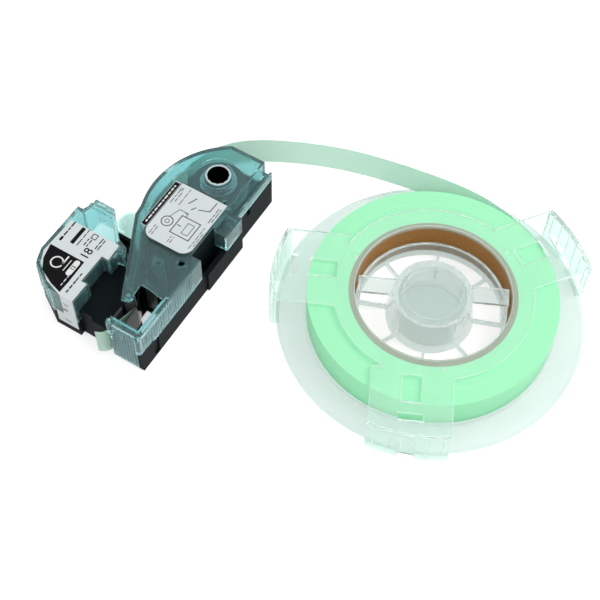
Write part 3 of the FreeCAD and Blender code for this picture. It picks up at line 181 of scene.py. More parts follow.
def makeWoundGroup():
    # rings about an upright axis, for wound tape and wound ribbon
    group, given, out = newGroup(
        "woundTurns",
        [("Centre", "NodeSocketVector", (0.0, 0.0, 0.0)), ("Pitch", "NodeSocketFloat", 0.0006)],
        [("Turns", "NodeSocketFloat"), ("Band", "NodeSocketFloat"), ("Layer", "NodeSocketFloat")],
    )
    coords = group.nodes.new("ShaderNodeTexCoord").outputs["Object"]
    shift = group.nodes.new("ShaderNodeVectorMath")
    shift.operation = "SUBTRACT"
    group.links.new(coords, shift.inputs[0])
    group.links.new(given.outputs["Centre"], shift.inputs[1])
    parts = group.nodes.new("ShaderNodeSeparateXYZ")
    group.links.new(shift.outputs[0], parts.inputs[0])
    xx = mathNode(group, "MULTIPLY", parts.outputs[0], parts.outputs[0])
    total = mathNode(group, "MULTIPLY_ADD", parts.outputs[1], parts.outputs[1], xx)
    radius = mathNode(group, "SQRT", total)
    turns = mathNode(group, "DIVIDE", radius, given.outputs["Pitch"])
    waves = mathNode(group, "SINE", mathNode(group, "MULTIPLY", turns, math.tau))
    band = noiseNode(group, joinXyz(group, radius, 0.0, 0.0), turnNoise["bands"], 3.0, 0.6)
    layer = noiseNode(group, joinXyz(group, 0.0, 0.0, parts.outputs[2]), turnNoise["layers"], 2.0)
    group.links.new(waves, out.inputs["Turns"])
    group.links.new(band, out.inputs["Band"])
    group.links.new(layer, out.inputs["Layer"])
    return group


def joinXyz(tree, x, y, z):
    node = tree.nodes.new("ShaderNodeCombineXYZ")
    for index, value in enumerate((x, y, z)):
        if isinstance(value, (int, float)):
            node.inputs[index].default_value = value
        else:
            tree.links.new(value, node.inputs[index])
    return node.outputs[0]


mouldedSurface = makeMouldedGroup()
woundTurns = makeWoundGroup()


def newMaterial(name):
    material = bpy.data.materials.new(name)
    material.use_nodes = True
    tree = material.node_tree
    return material, tree, tree.nodes["Principled BSDF"]


def addBump(tree, shader, height, strength, distance):
    bump = tree.nodes.new("ShaderNodeBump")
    bump.inputs["Strength"].default_value = strength
    bump.inputs["Distance"].default_value = distance
    tree.links.new(height, bump.inputs["Height"])
    tree.links.new(bump.outputs["Normal"], shader.inputs["Normal"])


plainLook = {"grain": 900.0, "cloud": 45.0, "variation": 0.08, "seeThrough": 0.0, "ior": 1.49,
             "specular": 0.5, "bump": 0.08, "bumpDepth": 0.0002}


def mouldedPlastic(name, given):
    # given: pale and deep colours, roughness, and what differs from the plain look
    look = {**plainLook, **given}
    material, tree, shader = newMaterial(name)
    surface = tree.nodes.new("ShaderNodeGroup")
    surface.node_tree = mouldedSurface
    surface.inputs["Grain Scale"].default_value = look["grain"]
    surface.inputs["Cloud Scale"].default_value = look["cloud"]
    surface.inputs["Roughness"].default_value = look["roughness"]
    surface.inputs["Variation"].default_value = look["variation"]
    tree.links.new(surface.outputs["Roughness"], shader.inputs["Roughness"])
    colour = mixColours(tree, surface.outputs["Cloud"], look["deep"], look["pale"])
    tree.links.new(colour, shader.inputs["Base Color"])
    shader.inputs["Transmission Weight"].default_value = look["seeThrough"]
    shader.inputs["IOR"].default_value = look["ior"]
    shader.inputs["Specular IOR Level"].default_value = look["specular"]
    # a glow is painted light: an emission that brightens the part beyond what the lamps give
    if "glow" in look:
        shader.inputs["Emission Color"].default_value = (*look["glow"], 1.0)
        shader.inputs["Emission Strength"].default_value = 1.0
    addBump(tree, shader, surface.outputs["Height"], look["bump"], look["bumpDepth"])
    return material


print("stage: materials")

plasticLooks = {
    "blackCase": {"deep": (0.004, 0.007, 0.008), "pale": (0.007, 0.010, 0.012), "roughness": 0.5,
                  "specular": 0.05, "bump": 0.1},
    # the next tint is a lighter, glossier black for the case's rounded edges: a painted highlight along
    # them
    "caseEdgeHighlight": {"deep": (0.012, 0.018, 0.02), "pale": (0.02, 0.028, 0.03), "roughness": 0.35,
                 "specular": 0.25},
    "smokeCover": {"deep": (0.38, 0.73, 0.77), "pale": (0.58, 0.86, 0.85), "roughness": 0.12,
                   "cloud": 25.0, "seeThrough": 0.93, "specular": 0.16, "ior": 1.33, "grain": 250.0,
                   "bump": 0.003, "variation": 0.08},
    # the next tint is paler and less clear than the cover, for the covers' rounded edges: a painted
    # highlight along them
    "coverEdgeHighlight": {"deep": (0.34, 0.54, 0.52), "pale": (0.50, 0.69, 0.66), "roughness": 0.12,
                  "seeThrough": 0.3, "specular": 0.4, "ior": 1.33, "grain": 250.0, "bump": 0.003},
    # the faint glow of the next two clear tints is painted light, making up for the shade the clear plastic
    # casts on the roll; the frame's tint glows more
    "clearHolder": {"deep": (0.67, 0.74, 0.72), "pale": (0.74, 0.805, 0.785), "roughness": 0.1,
                    "cloud": 20.0, "seeThrough": 0.9, "specular": 0.35, "ior": 1.2,
                    "glow": (0.03, 0.032, 0.031), "grain": 200.0, "bump": 0.003, "variation": 0.08},
    "clearFrame": {"deep": (0.76, 0.87, 0.83), "pale": (0.84, 0.93, 0.89), "roughness": 0.1,
                   "cloud": 20.0, "seeThrough": 0.9, "specular": 0.35, "ior": 1.2,
                   "glow": (0.042, 0.052, 0.047), "grain": 200.0, "bump": 0.003, "variation": 0.08},
    # the next tint, the brightest with the strongest glow, paints a highlight on the holder's rounded edges
    # and on the clip ribs
    "holderHighlight": {"deep": (0.80, 0.90, 0.87), "pale": (0.88, 0.96, 0.94), "roughness": 0.2,
                   "seeThrough": 0.35, "ior": 1.2, "glow": (0.08, 0.095, 0.09), "grain": 200.0,
                   "bump": 0.004},
    "guidePeg": {"deep": (0.05, 0.10, 0.115), "pale": (0.08, 0.14, 0.15), "roughness": 0.25},
    "paleSpool": {"deep": (0.66, 0.83, 0.79), "pale": (0.78, 0.90, 0.87), "roughness": 0.25},
    "darkGuide": {"deep": (0.012, 0.014, 0.015), "pale": (0.03, 0.034, 0.035), "roughness": 0.35},
    # the glow of the next tint is painted light that brightens the guide, which otherwise renders in shade
    "clearGuide": {"deep": (0.70, 0.90, 0.86), "pale": (0.80, 0.96, 0.92), "roughness": 0.2,
                   "seeThrough": 0.3, "ior": 1.3, "glow": (0.15, 0.20, 0.19)},
    "platenRubber": {"deep": (0.02, 0.02, 0.02), "pale": (0.045, 0.043, 0.04), "roughness": 0.72,
                     "bump": 0.3},
    "ribbonFilm": {"deep": (0.004, 0.004, 0.005), "pale": (0.012, 0.012, 0.014), "roughness": 0.12},
    "mintWeb": {"deep": (0.66, 0.93, 0.79), "pale": (0.72, 0.96, 0.84), "roughness": 0.28,
                "cloud": 18.0, "seeThrough": 0.55, "grain": 300.0, "bump": 0.004},
    "stickerPaper": {"deep": (0.66, 0.71, 0.72), "pale": (0.72, 0.78, 0.79), "roughness": 0.4,
                     "specular": 0.3, "grain": 1400.0, "bump": 0.05},
    "greyBand": {"deep": (0.50, 0.55, 0.56), "pale": (0.58, 0.63, 0.63), "roughness": 0.35},
    "printBlack": {"deep": (0.004, 0.004, 0.005), "pale": (0.008, 0.008, 0.009), "roughness": 0.4,
                   "specular": 0.06},
    "printGrey": {"deep": (0.16, 0.17, 0.18), "pale": (0.22, 0.23, 0.24), "roughness": 0.3},
    "printWhite": {"deep": (0.78, 0.79, 0.79), "pale": (0.86, 0.87, 0.87), "roughness": 0.3},
}
materials = {name: mouldedPlastic(name, look) for name, look in plasticLooks.items()}
fineDepth = 0.0001  # bump depth of streaks and wound turns


def makeSteel():
    look = {"deep": (0.42, 0.43, 0.44), "pale": (0.62, 0.63, 0.65), "stretch": 14.0,
            "streaks": (220.0, 5.0, 0.65), "roughness": (0.18, 0.38), "bump": 0.06}
    material, tree, shader = newMaterial("brightSteel")
    coords = tree.nodes.new("ShaderNodeTexCoord").outputs["Object"]
    stretch = tree.nodes.new("ShaderNodeMapping")
    stretch.inputs["Scale"].default_value = (1.0, 1.0, look["stretch"])
    tree.links.new(coords, stretch.inputs["Vector"])
    streak = noiseNode(tree, stretch.outputs[0], *look["streaks"])
    tree.links.new(mixColours(tree, streak, look["deep"], look["pale"]), shader.inputs["Base Color"])
    tree.links.new(rangeNode(tree, streak, 0.2, 0.8, *look["roughness"]), shader.inputs["Roughness"])
    shader.inputs["Metallic"].default_value = 1.0
    addBump(tree, shader, streak, look["bump"], fineDepth)
    return material


woundLook = {"specular": 0.4, "glow": 0.0, "glowColour": (0.4, 1.0, 0.6), "glowDepth": 0.004,
             "spread": 0.12, "bump": 0.1}


def makeWound(name, given):
    look = {**woundLook, **given}
    material, tree, shader = newMaterial(name)
    turns = tree.nodes.new("ShaderNodeGroup")
    turns.node_tree = woundTurns
    turns.inputs["Centre"].default_value = casePoint(*look["centre"])
    turns.inputs["Pitch"].default_value = look["pitch"]
    band = rangeNode(tree, turns.outputs["Band"], 0.35, 0.65, 0.0, 1.0)
    colour = mixColours(tree, band, look["deep"], look["pale"])
    lines = rangeNode(tree, turns.outputs["Turns"], -1.0, 1.0, 0.0, look["lines"])
    tree.links.new(mixColours(tree, lines, colour, look["line"]), shader.inputs["Base Color"])
    rough = look["roughness"]
    layer = rangeNode(tree, turns.outputs["Layer"], 0.3, 0.7, rough, rough + look["spread"])
    tree.links.new(layer, shader.inputs["Roughness"])
    shader.inputs["Specular IOR Level"].default_value = look["specular"]
    shader.inputs["Subsurface Weight"].default_value = look["glow"]
    shader.inputs["Subsurface Radius"].default_value = look["glowColour"]
    shader.inputs["Subsurface Scale"].default_value = look["glowDepth"]
    addBump(tree, shader, turns.outputs["Turns"], look["bump"], fineDepth)
    return material


def makeCardCore():
    look = {"deep": (0.30, 0.115, 0.012), "pale": (0.47, 0.21, 0.035), "rim": (0.34, 0.27, 0.19),
            "rimStart": 0.0012, "rimFull": 0.0002, "stretch": 4.0, "fibres": (420.0, 6.0, 0.7),
            "blotches": (60.0, 3.0, 0.5), "roughness": 0.62, "bump": 0.3}
    material, tree, shader = newMaterial("cardCore")
    coords = tree.nodes.new("ShaderNodeTexCoord").outputs["Object"]
    stretch = tree.nodes.new("ShaderNodeMapping")
    stretch.inputs["Scale"].default_value = (1.0, 1.0, look["stretch"])
    tree.links.new(coords, stretch.inputs["Vector"])
    fibre = noiseNode(tree, stretch.outputs[0], *look["fibres"])
    blotch = noiseNode(tree, coords, *look["blotches"])
    body = mixColours(tree, rangeNode(tree, fibre, 0.3, 0.7, 0.0, 1.0), look["deep"], look["pale"])
    body = mixColours(tree, rangeNode(tree, blotch, 0.4, 0.8, 0.0, 0.4), body, look["pale"])
    parts = tree.nodes.new("ShaderNodeSeparateXYZ")
    tree.links.new(coords, parts.inputs[0])
    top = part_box("roll_core")[1][2]
    rim = rangeNode(tree, parts.outputs[2], top - look["rimStart"], top - look["rimFull"], 0.0, 1.0)
    tree.links.new(mixColours(tree, rim, body, look["rim"]), shader.inputs["Base Color"])
    shader.inputs["Roughness"].default_value = look["roughness"]
    addBump(tree, shader, fibre, look["bump"], plainLook["bumpDepth"])
    return material


def makeCollar():
    # a pale top ring; everything else, the toothed socket above all, is painted near-black, a painted shade
    # in the hole
    look = {"socketShade": (0.0015, 0.002, 0.002), "pale": (0.60, 0.70, 0.70), "shade": (0.42, 0.52, 0.53),
            "near": 0.00545, "far": 0.0057, "low": 0.0004, "high": 0.0002, "clouds": (90.0, 3.0, 0.5),
            "roughness": (0.22, 0.34), "specular": (0.02, 0.3), "bump": 0.05}
    material, tree, shader = newMaterial("supplyCollar")
    coords = tree.nodes.new("ShaderNodeTexCoord").outputs["Object"]
    shift = tree.nodes.new("ShaderNodeVectorMath")
    shift.operation = "SUBTRACT"
    shift.inputs[1].default_value = casePoint(*supplyCentre)
    tree.links.new(coords, shift.inputs[0])
    parts = tree.nodes.new("ShaderNodeSeparateXYZ")
    tree.links.new(shift.outputs[0], parts.inputs[0])
    xx = mathNode(tree, "MULTIPLY", parts.outputs[0], parts.outputs[0])
    radius = mathNode(tree, "SQRT", mathNode(tree, "MULTIPLY_ADD", parts.outputs[1], parts.outputs[1], xx))
    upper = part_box("supply_spool")[1][2]
    place = tree.nodes.new("ShaderNodeSeparateXYZ")
    tree.links.new(coords, place.inputs[0])
    topFace = rangeNode(tree, place.outputs[2], upper - look["low"], upper - look["high"], 0.0, 1.0)
    outer = rangeNode(tree, radius, look["near"], look["far"], 0.0, 1.0)
    ring = mathNode(tree, "MULTIPLY", outer, topFace)
    cloud = noiseNode(tree, coords, *look["clouds"])
    pale = mixColours(tree, rangeNode(tree, cloud, 0.3, 0.7, 0.0, 0.5), look["pale"], look["shade"])
    tree.links.new(mixColours(tree, ring, look["socketShade"], pale), shader.inputs["Base Color"])
    tree.links.new(rangeNode(tree, cloud, 0.3, 0.7, *look["roughness"]), shader.inputs["Roughness"])
    # the specular drops away off the ring, so the painted shade shows no glints
    tree.links.new(rangeNode(tree, ring, 0.0, 1.0, *look["specular"]), shader.inputs["Specular IOR Level"])
    addBump(tree, shader, cloud, look["bump"], plainLook["bumpDepth"])
    return material


materials["supplyCollar"] = makeCollar()
materials["brightSteel"] = makeSteel()
materials["mintRoll"] = makeWound("mintRoll", {
    "centre": reelCentre, "pitch": 0.00065, "deep": (0.36, 0.94, 0.53), "pale": (0.40, 0.97, 0.58),
    "line": (0.44, 0.98, 0.62), "lines": 0.25, "roughness": 0.42, "glow": 0.1, "bump": 0.05,
})
materials["supplyTurns"] = makeWound("supplyTurns", {
    "centre": supplyCentre, "pitch": 0.0003, "deep": (0.006, 0.006, 0.008),
    "pale": (0.015, 0.016, 0.02), "line": (0.03, 0.03, 0.035), "lines": 0.5, "roughness": 0.25,
})
materials["takeupTurns"] = makeWound("takeupTurns", {
    "centre": takeupCentre, "pitch": 0.0003, "deep": (0.006, 0.006, 0.008),
    "pale": (0.015, 0.016, 0.02), "line": (0.03, 0.03, 0.035), "lines": 0.5, "roughness": 0.25,
})
materials["cardCore"] = makeCardCore()

nodeFinish = {
    "lower_case": "blackCase",
    "right_cover": "smokeCover",
    "left_cover": "smokeCover",
    "front_label": "stickerPaper",
    "instruction_label": "stickerPaper",
    "band_label": "greyBand",
    "supply_spool": "supplyCollar",
    "supply_film": "supplyTurns",
    "takeup_spool": "paleSpool",
    "takeup_film": "takeupTurns",
    "ribbon_film": "ribbonFilm",
    "brake_washer": "brightSteel",
    "brake_spring": "brightSteel",
    "platen_shaft": "brightSteel",
    "platen_rubber": "platenRubber",
    "guide_roller": "guidePeg",
    "guide_pin": "guidePeg",
    "ribbon_guide": "darkGuide",
    "exit_guide": "darkGuide",
    "tape_guide": "clearGuide",
    "tape_web": "mintWeb",
    "tape_roll": "mintRoll",
    "roll_core": "cardCore",
    "holder_base": "clearHolder",
    "holder_frame": "clearFrame",
}


def finishNode(node):
    obj = nodes[node]
    obj.data.materials.clear()
    obj.data.materials.append(materials[nodeFinish[node]])


for nodeName in nodeFinish:
    finishNode(nodeName)

print("stage: rounded edges")

roundedNodes = {
    "lower_case": {"width": 0.25, "edge": "caseEdgeHighlight", "slot": "black_case"},
    "right_cover": {"width": 0.4, "edge": "coverEdgeHighlight", "slot": "smoke_cover"},
    "left_cover": {"width": 0.4, "edge": "coverEdgeHighlight", "slot": "smoke_cover"},
    "holder_base": {"width": 0.35, "edge": "holderHighlight", "slot": "clear_holder"},
    "holder_frame": {"width": 0.4, "edge": "holderHighlight", "slot": "clear_holder"},
    "supply_spool": {"width": 0.15, "edge": "supplyCollar", "slot": "pale_plastic"},
}


rounding = {"weld": 0.000002, "flat": 0.5, "sharp": 40, "smooth": 30, "segments": 2}


def bodyOfNode(node):
    for name, members in frame["record"]["behaviour"]["bodies"].items():
        if node in members:
            return name
    return "root"


def roundNode(node, width, edge):
    # a welded copy of the node with small rounds on its sharp edges; the rounds take the node's edge
    # material, which for the case, covers and holder is a brighter tint, a painted highlight along the
    # edges
    mesh = nodes[node].data.copy()
    shape = bmesh.new()
    shape.from_mesh(mesh)
    bmesh.ops.remove_doubles(shape, verts=shape.verts, dist=rounding["weld"])
    flat = math.radians(rounding["flat"])
    bmesh.ops.dissolve_limit(shape, angle_limit=flat, verts=shape.verts, edges=shape.edges)
    shape.to_mesh(mesh)
    shape.free()
    mesh.materials.append(materials[edge])
    obj = bpy.data.objects.new(node + "_rounded", mesh)
    bpy.context.scene.collection.objects.link(obj)
    bevel = obj.modifiers.new("rounds", "BEVEL")
    bevel.width = width * mm
    bevel.segments = rounding["segments"]
    bevel.material = 1
    bevel.limit_method = "ANGLE"
    bevel.angle_limit = math.radians(rounding["sharp"])
    bevel.use_clamp_overlap = True
    smoothByAngle(obj, rounding["smooth"])
    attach(obj, bodyOfNode(node))
    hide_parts(node)


def smoothByAngle(obj, degrees):
    mesh = obj.data
    shape = bmesh.new()
    shape.from_mesh(mesh)
    for face in shape.faces:
        face.smooth = True
    for edge in shape.edges:
        sharp = len(edge.link_faces) != 2 or edge.calc_face_angle(0.0) > math.radians(degrees)
        edge.smooth = not sharp
    shape.to_mesh(mesh)
    shape.free()


for nodeName, rounds in roundedNodes.items():
    roundNode(nodeName, rounds["width"], rounds["edge"])

print("stage: floor of the holder's hub")


def addPiece(name, shape, paint, body):
    mesh = bpy.data.meshes.new(name)
    shape.to_mesh(mesh)
    shape.free()
    mesh.materials.append(materials[paint])
    obj = bpy.data.objects.new(name, mesh)
    bpy.context.scene.collection.objects.link(obj)
    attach(obj, body)
    return obj


hubFloor = {"radius": 16.9, "low": 1.0, "high": 2.2, "facets": 72}


def makeHubFloor():
    # a thin moulded web that closes the hub low down
    radius = hubFloor["radius"] * mm
    depth = (hubFloor["high"] - hubFloor["low"]) * mm
    shape = bmesh.new()
    bmesh.ops.create_cone(shape, cap_ends=True, segments=hubFloor["facets"], radius1=radius, radius2=radius,
                          depth=depth)
    middle = casePoint(*reelCentre, (hubFloor["high"] + hubFloor["low"]) / 2)
    bmesh.ops.translate(shape, verts=shape.verts, vec=middle)
    addPiece("hubFloor", shape, "clearHolder", bodyOfNode("holder_base"))


makeHubFloor()

print("stage: ribs on the holder's clips")

ribLook = {"Count": 6, "Reach": 79.75, "Low": 3.0, "Tall": 16.5, "Wide": 0.5, "Deep": 0.5}
ribRows = [{"Start": 97.6, "Pitch": 5.3}, {"Start": -46.2, "Pitch": 4.7}, {"Start": -171.5, "Pitch": 4.7}]


def makeRibTree():
    # upright bars set out along an arc about the group's own origin, mm and degrees in, metres out
    tree = bpy.data.node_groups.new("clipRibs", "GeometryNodeTree")
    tree.interface.new_socket(name="Geometry", in_out="OUTPUT", socket_type="NodeSocketGeometry")
    tree.interface.new_socket(name="Count", in_out="INPUT", socket_type="NodeSocketInt")
    for label in ("Start", "Pitch", "Reach", "Low", "Tall", "Wide", "Deep"):
        tree.interface.new_socket(name=label, in_out="INPUT", socket_type="NodeSocketFloat")
    tree.interface.new_socket(name="Material", in_out="INPUT", socket_type="NodeSocketMaterial")
    given = tree.nodes.new("NodeGroupInput").outputs
    row = tree.nodes.new("GeometryNodeMeshLine")
    tree.links.new(given["Count"], row.inputs["Count"])
    step = tree.nodes.new("GeometryNodeInputIndex").outputs[0]
    angle = mathNode(tree, "RADIANS", mathNode(tree, "MULTIPLY_ADD", step, given["Pitch"], given["Start"]))
    reach = mathNode(tree, "MULTIPLY", given["Reach"], mm)
    across = mathNode(tree, "MULTIPLY", mathNode(tree, "COSINE", angle), reach)
    along = mathNode(tree, "MULTIPLY", mathNode(tree, "SINE", angle), reach)
    halfway = mathNode(tree, "MULTIPLY_ADD", given["Tall"], 0.5, given["Low"])
    place = tree.nodes.new("GeometryNodeSetPosition")
    tree.links.new(row.outputs[0], place.inputs["Geometry"])
    middle = mathNode(tree, "MULTIPLY", halfway, mm)
    tree.links.new(joinXyz(tree, across, along, middle), place.inputs["Position"])
    rib = tree.nodes.new("GeometryNodeMeshCube")
    measures = [mathNode(tree, "MULTIPLY", given[label], mm) for label in ("Deep", "Wide", "Tall")]
    tree.links.new(joinXyz(tree, *measures), rib.inputs["Size"])
    copies = tree.nodes.new("GeometryNodeInstanceOnPoints")
    tree.links.new(place.outputs[0], copies.inputs["Points"])
    tree.links.new(rib.outputs[0], copies.inputs["Instance"])
    tree.links.new(joinXyz(tree, 0.0, 0.0, angle), copies.inputs["Rotation"])
    real = tree.nodes.new("GeometryNodeRealizeInstances")
    tree.links.new(copies.outputs[0], real.inputs[0])
    paint = tree.nodes.new("GeometryNodeSetMaterial")
    tree.links.new(real.outputs[0], paint.inputs["Geometry"])
    tree.links.new(given["Material"], paint.inputs["Material"])
    tree.links.new(paint.outputs[0], tree.nodes.new("NodeGroupOutput").inputs[0])
    return tree


def makeClipRibs():
    tree = makeRibTree()
    sockets = {item.name: item.identifier for item in tree.interface.items_tree if item.in_out == "INPUT"}
    whole = bmesh.new()
    for row in ribRows:
        carrier = bpy.data.objects.new("ribRow", bpy.data.meshes.new("ribRow"))
        bpy.context.scene.collection.objects.link(carrier)
        grow = carrier.modifiers.new("ribs", "NODES")
        grow.node_group = tree
        # the ribs are painted wholly in the holder's highlight tint and its glow, a painted highlight
        for label, value in {**ribLook, **row, "Material": materials["holderHighlight"]}.items():
            grow[sockets[label]] = value
        whole.from_mesh(finishedMesh(carrier))
        bpy.data.objects.remove(carrier)
    bmesh.ops.translate(whole, verts=whole.verts, vec=casePoint(*reelCentre))
    addPiece("clipRibs", whole, "holderHighlight", bodyOfNode("holder_frame"))


def finishedMesh(obj):
    bpy.context.view_layer.update()
    return bpy.data.meshes.new_from_object(obj.evaluated_get(bpy.context.evaluated_depsgraph_get()))


makeClipRibs()

print("stage: print on the stickers")

ink = {"gap": 0.000005, "thick": 0.00003, "letterScale": 1.4, "letterSwell": 0.00006}
capSteps = 9  # points round each end of a pill
ringOverlap = 1.06  # how far a ring's short bars reach into each other


def liftOutline(shape, corners, lift):
    # a flat outline given its thickness
    face = shape.faces.new([shape.verts.new(corner) for corner in corners])
    raised = bmesh.ops.extrude_face_region(shape, geom=[face])
    lifted = [item for item in raised["geom"] if isinstance(item, bmesh.types.BMVert)]
    bmesh.ops.translate(shape, verts=lifted, vec=lift)


def bar(x, y, length, height, turn=0.0):
    # a bar's outline from its middle
    c, s = math.cos(math.radians(turn)), math.sin(math.radians(turn))
    half = ((-0.5, -0.5), (0.5, -0.5), (0.5, 0.5), (-0.5, 0.5))
    return [(x + a * length * c - b * height * s, y + a * length * s + b * height * c) for a, b in half]


def stroke(x1, y1, x2, y2, width):
    length = math.hypot(x2 - x1, y2 - y1) + width
    return bar((x1 + x2) / 2, (y1 + y2) / 2, length, width, math.degrees(math.atan2(y2 - y1, x2 - x1)))


def pill(x, y, length, height):
    outline = []
    reach, radius = (length - height) / 2, height / 2
    for side in (1, -1):
        for step in range(capSteps):
            angle = math.pi * (step / (capSteps - 1) - 0.5)
            across = side * (reach + math.cos(angle) * radius)
            outline.append((x + across, y + side * math.sin(angle) * radius))
    return outline


def ringStrokes(x, y, radius, width, count):
    strokes = []
    reach = math.tau / count * radius * ringOverlap
    for step in range(count):
        angle = math.tau * (step + 0.5) / count
        spot = (x + radius * math.cos(angle), y + radius * math.sin(angle))
        strokes.append(bar(*spot, width, reach, math.degrees(angle)))
    return strokes


def boxStrokes(x1, y1, x2, y2, width):
    corners = [(x1, y1), (x2, y1), (x2, y2), (x1, y2)]
    return [stroke(*corners[step - 1], *corners[step], width) for step in range(len(corners))]


def wordBars(x, y, lengths, height, gap=0.7):
    # a line of bars that stands for small print
    line = []
    for length in lengths:
        line.append(bar(x + length / 2, y, length, height))
        x += length + gap
    return line


# Case points and sizes in mm. Bars and pills: middle, length, height. Strokes: both ends, width.
# Boxes: two corners, width. Rings: middle, radius, width, bars. Words: start, lengths, height.
# The layer counts the inks that lie under a piece.
wide, fine = 0.45, 0.3
stickerInks = {
    "fieldInk": {
        "sticker": "front_label", "paint": "printBlack", "layer": 0,
        "outlines": [[(1.1, 44.2), (8.0, 44.0), (21.0, 44.4), (21.0, 64.6), (12.6, 62.6),
                      (7.0, 58.9), (3.0, 50.7)]],
    },
    "fieldMarks": {
        "sticker": "front_label", "paint": "printWhite", "layer": 1,
        "pills": [(15.4, 47.0, 9.6, 3.0)],
        "rings": [(14.2, 55.6, 3.0, 0.8, 18)],
        "strokes": [(14.2, 52.6, 19.4, 52.6, 0.8), (11.9, 50.2, 18.4, 50.2, wide)],
        "words": [(4.4, 46.0, (1.6, 2.2, 1.2), wide)],
    },
    "frontWords": {
        "sticker": "front_label", "paint": "printBlack", "layer": 0,
        "bars": [(32.0, 56.3, 10.6, 2.1), (35.6, 50.2, 3.0, wide), (35.6, 47.6, 3.0, wide),
                 (34.2, 48.9, wide, 2.6), (37.0, 48.9, wide, 2.6)],
        "strokes": [(25.8, 62.2, 27.2, 62.2, 1.3)],
        "words": [(28.6, 62.2, (3.0, 1.6, 3.4), 0.8), (27.0, 53.4, (4.6, 2.6, 2.4), 0.5),
                  (28.9, 50.6, (2.2, 1.6), 0.6), (28.9, 49.0, (1.4, 2.4), 0.6),
                  (29.9, 44.6, (2.6, 3.8), 0.55), (29.9, 43.2, (3.6, 2.4), 0.55),
                  (2.6, 41.4, (1.8, 2.4, 1.5), 0.8), (9.6, 41.4, (3.0, 2.0), 0.6)],
    },
    "frontNumber": {
        "sticker": "front_label", "paint": "printBlack", "layer": 0,
        "number": "18", "place": (25.6, 46.3), "height": 4.6,
    },
    "pillNumber": {
        "sticker": "front_label", "paint": "printBlack", "layer": 2,
        "number": "12", "place": (15.4, 47.0), "height": 2.0,
    },
    "drawingInk": {
        # a plain printer from above with a roll and its tape, then fold marks and a bent line
        "sticker": "instruction_label", "paint": "printBlack", "layer": 0,
        "boxes": [(57.0, 8.6, 68.2, 19.4, wide), (59.2, 10.6, 65.8, 14.2, fine)],
        "rings": [(61.6, 24.0, 2.9, wide, 18), (61.6, 24.0, 1.1, fine, 12), (81.4, 28.6, 0.7, fine, 10)],
        "strokes": [(64.4, 24.6, 70.6, 22.4, fine), (70.6, 22.4, 70.6, 17.4, fine),
                    (70.6, 17.4, 68.4, 17.4, fine), (69.8, 18.8, 70.6, 17.4, fine),
                    (62.4, 16.6, 62.4, 18.4, wide), (76.0, 20.9, 80.4, 19.0, wide),
                    (73.4, 17.6, 75.6, 16.4, wide), (75.2, 14.4, 77.2, 9.2, wide),
                    (77.2, 9.2, 83.4, 9.0, wide)],
    },
    "drawingWords": {
        "sticker": "instruction_label", "paint": "printGrey", "layer": 0,
        "words": [(71.6, 29.0, (3.4, 1.6, 2.8), 0.55), (73.4, 27.4, (2.2, 3.4), 0.55),
                  (72.6, 24.6, (4.2, 3.4, 2.0), 0.5), (51.0, 27.4, (3.2, 2.0), 0.5),
                  (51.0, 26.0, (2.2, 2.6), 0.5), (51.4, 17.0, (1.8, 1.4), 0.5),
                  (51.4, 15.6, (2.4, 0.8), 0.5), (53.4, 5.9, (2.6, 1.8, 3.2, 2.2, 1.6), 0.5),
                  (55.6, 4.7, (1.8, 3.0, 2.4), 0.5), (71.0, 6.2, (3.4, 2.2, 3.0), 0.6),
                  (72.0, 4.9, (2.6, 3.6, 1.6), 0.6)],
    },
    "bandField": {
        "sticker": "band_label", "paint": "printBlack", "layer": 0,
        "bars": [(69.5, 33.2, 30.0, 2.9)],
    },
    "bandWords": {
        "sticker": "band_label", "paint": "printWhite", "layer": 1,
        "words": [(56.4, 33.2, (1.6, 2.8, 1.2, 2.2, 3.0, 1.4, 2.6, 1.8, 2.0, 1.2), 0.8)],
    },
}


def inkOutlines(look):
    outlines = list(look.get("outlines", []))
    for kind, maker in (("pills", pill), ("bars", bar), ("strokes", stroke)):
        outlines += [maker(*values) for values in look.get(kind, [])]
    for kind, maker in (("rings", ringStrokes), ("boxes", boxStrokes), ("words", wordBars)):
        for values in look.get(kind, []):
            outlines += maker(*values)
    return outlines


def inkShape(look, top):
    shape = bmesh.new()
    for outline in inkOutlines(look):
        corners = [casePoint(x, y) + Vector((0, 0, top + ink["gap"])) for x, y in outline]
        liftOutline(shape, corners, (0, 0, ink["thick"]))
    bmesh.ops.recalc_face_normals(shape, faces=shape.faces)
    return shape


def numberShape(look, top):
    data = bpy.data.curves.new("number", "FONT")
    data.body = look["number"]
    data.size = look["height"] * mm * ink["letterScale"]
    data.align_x, data.align_y = "CENTER", "CENTER"
    data.extrude = ink["thick"] / 2
    data.offset = ink["letterSwell"]
    letters = bpy.data.objects.new("number", data)
    bpy.context.scene.collection.objects.link(letters)
    mesh = finishedMesh(letters)
    bpy.data.objects.remove(letters)
    spot = casePoint(*look["place"]) + Vector((0, 0, top + ink["thick"] / 2 + ink["gap"]))
    mesh.transform(Matrix.Translation(spot))
    shape = bmesh.new()
    shape.from_mesh(mesh)
    return shape


def printStickers():
    for name, look in stickerInks.items():
        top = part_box(look["sticker"])[1][2] + look["layer"] * ink["thick"]
        shape = numberShape(look, top) if "number" in look else inkShape(look, top)
        addPiece(name, shape, look["paint"], "case")


# Across the case, up, width and height, on the strip of the label that turns down the front
foldBars = [(41.0, 24.0, 3.6, 0.6), (41.0, 22.4, 2.4, 0.6), (42.0, 18.4, 3.0, 2.2), (41.6, 9.0, 4.6, 0.5),
            (41.6, 7.8, 3.2, 0.5)]


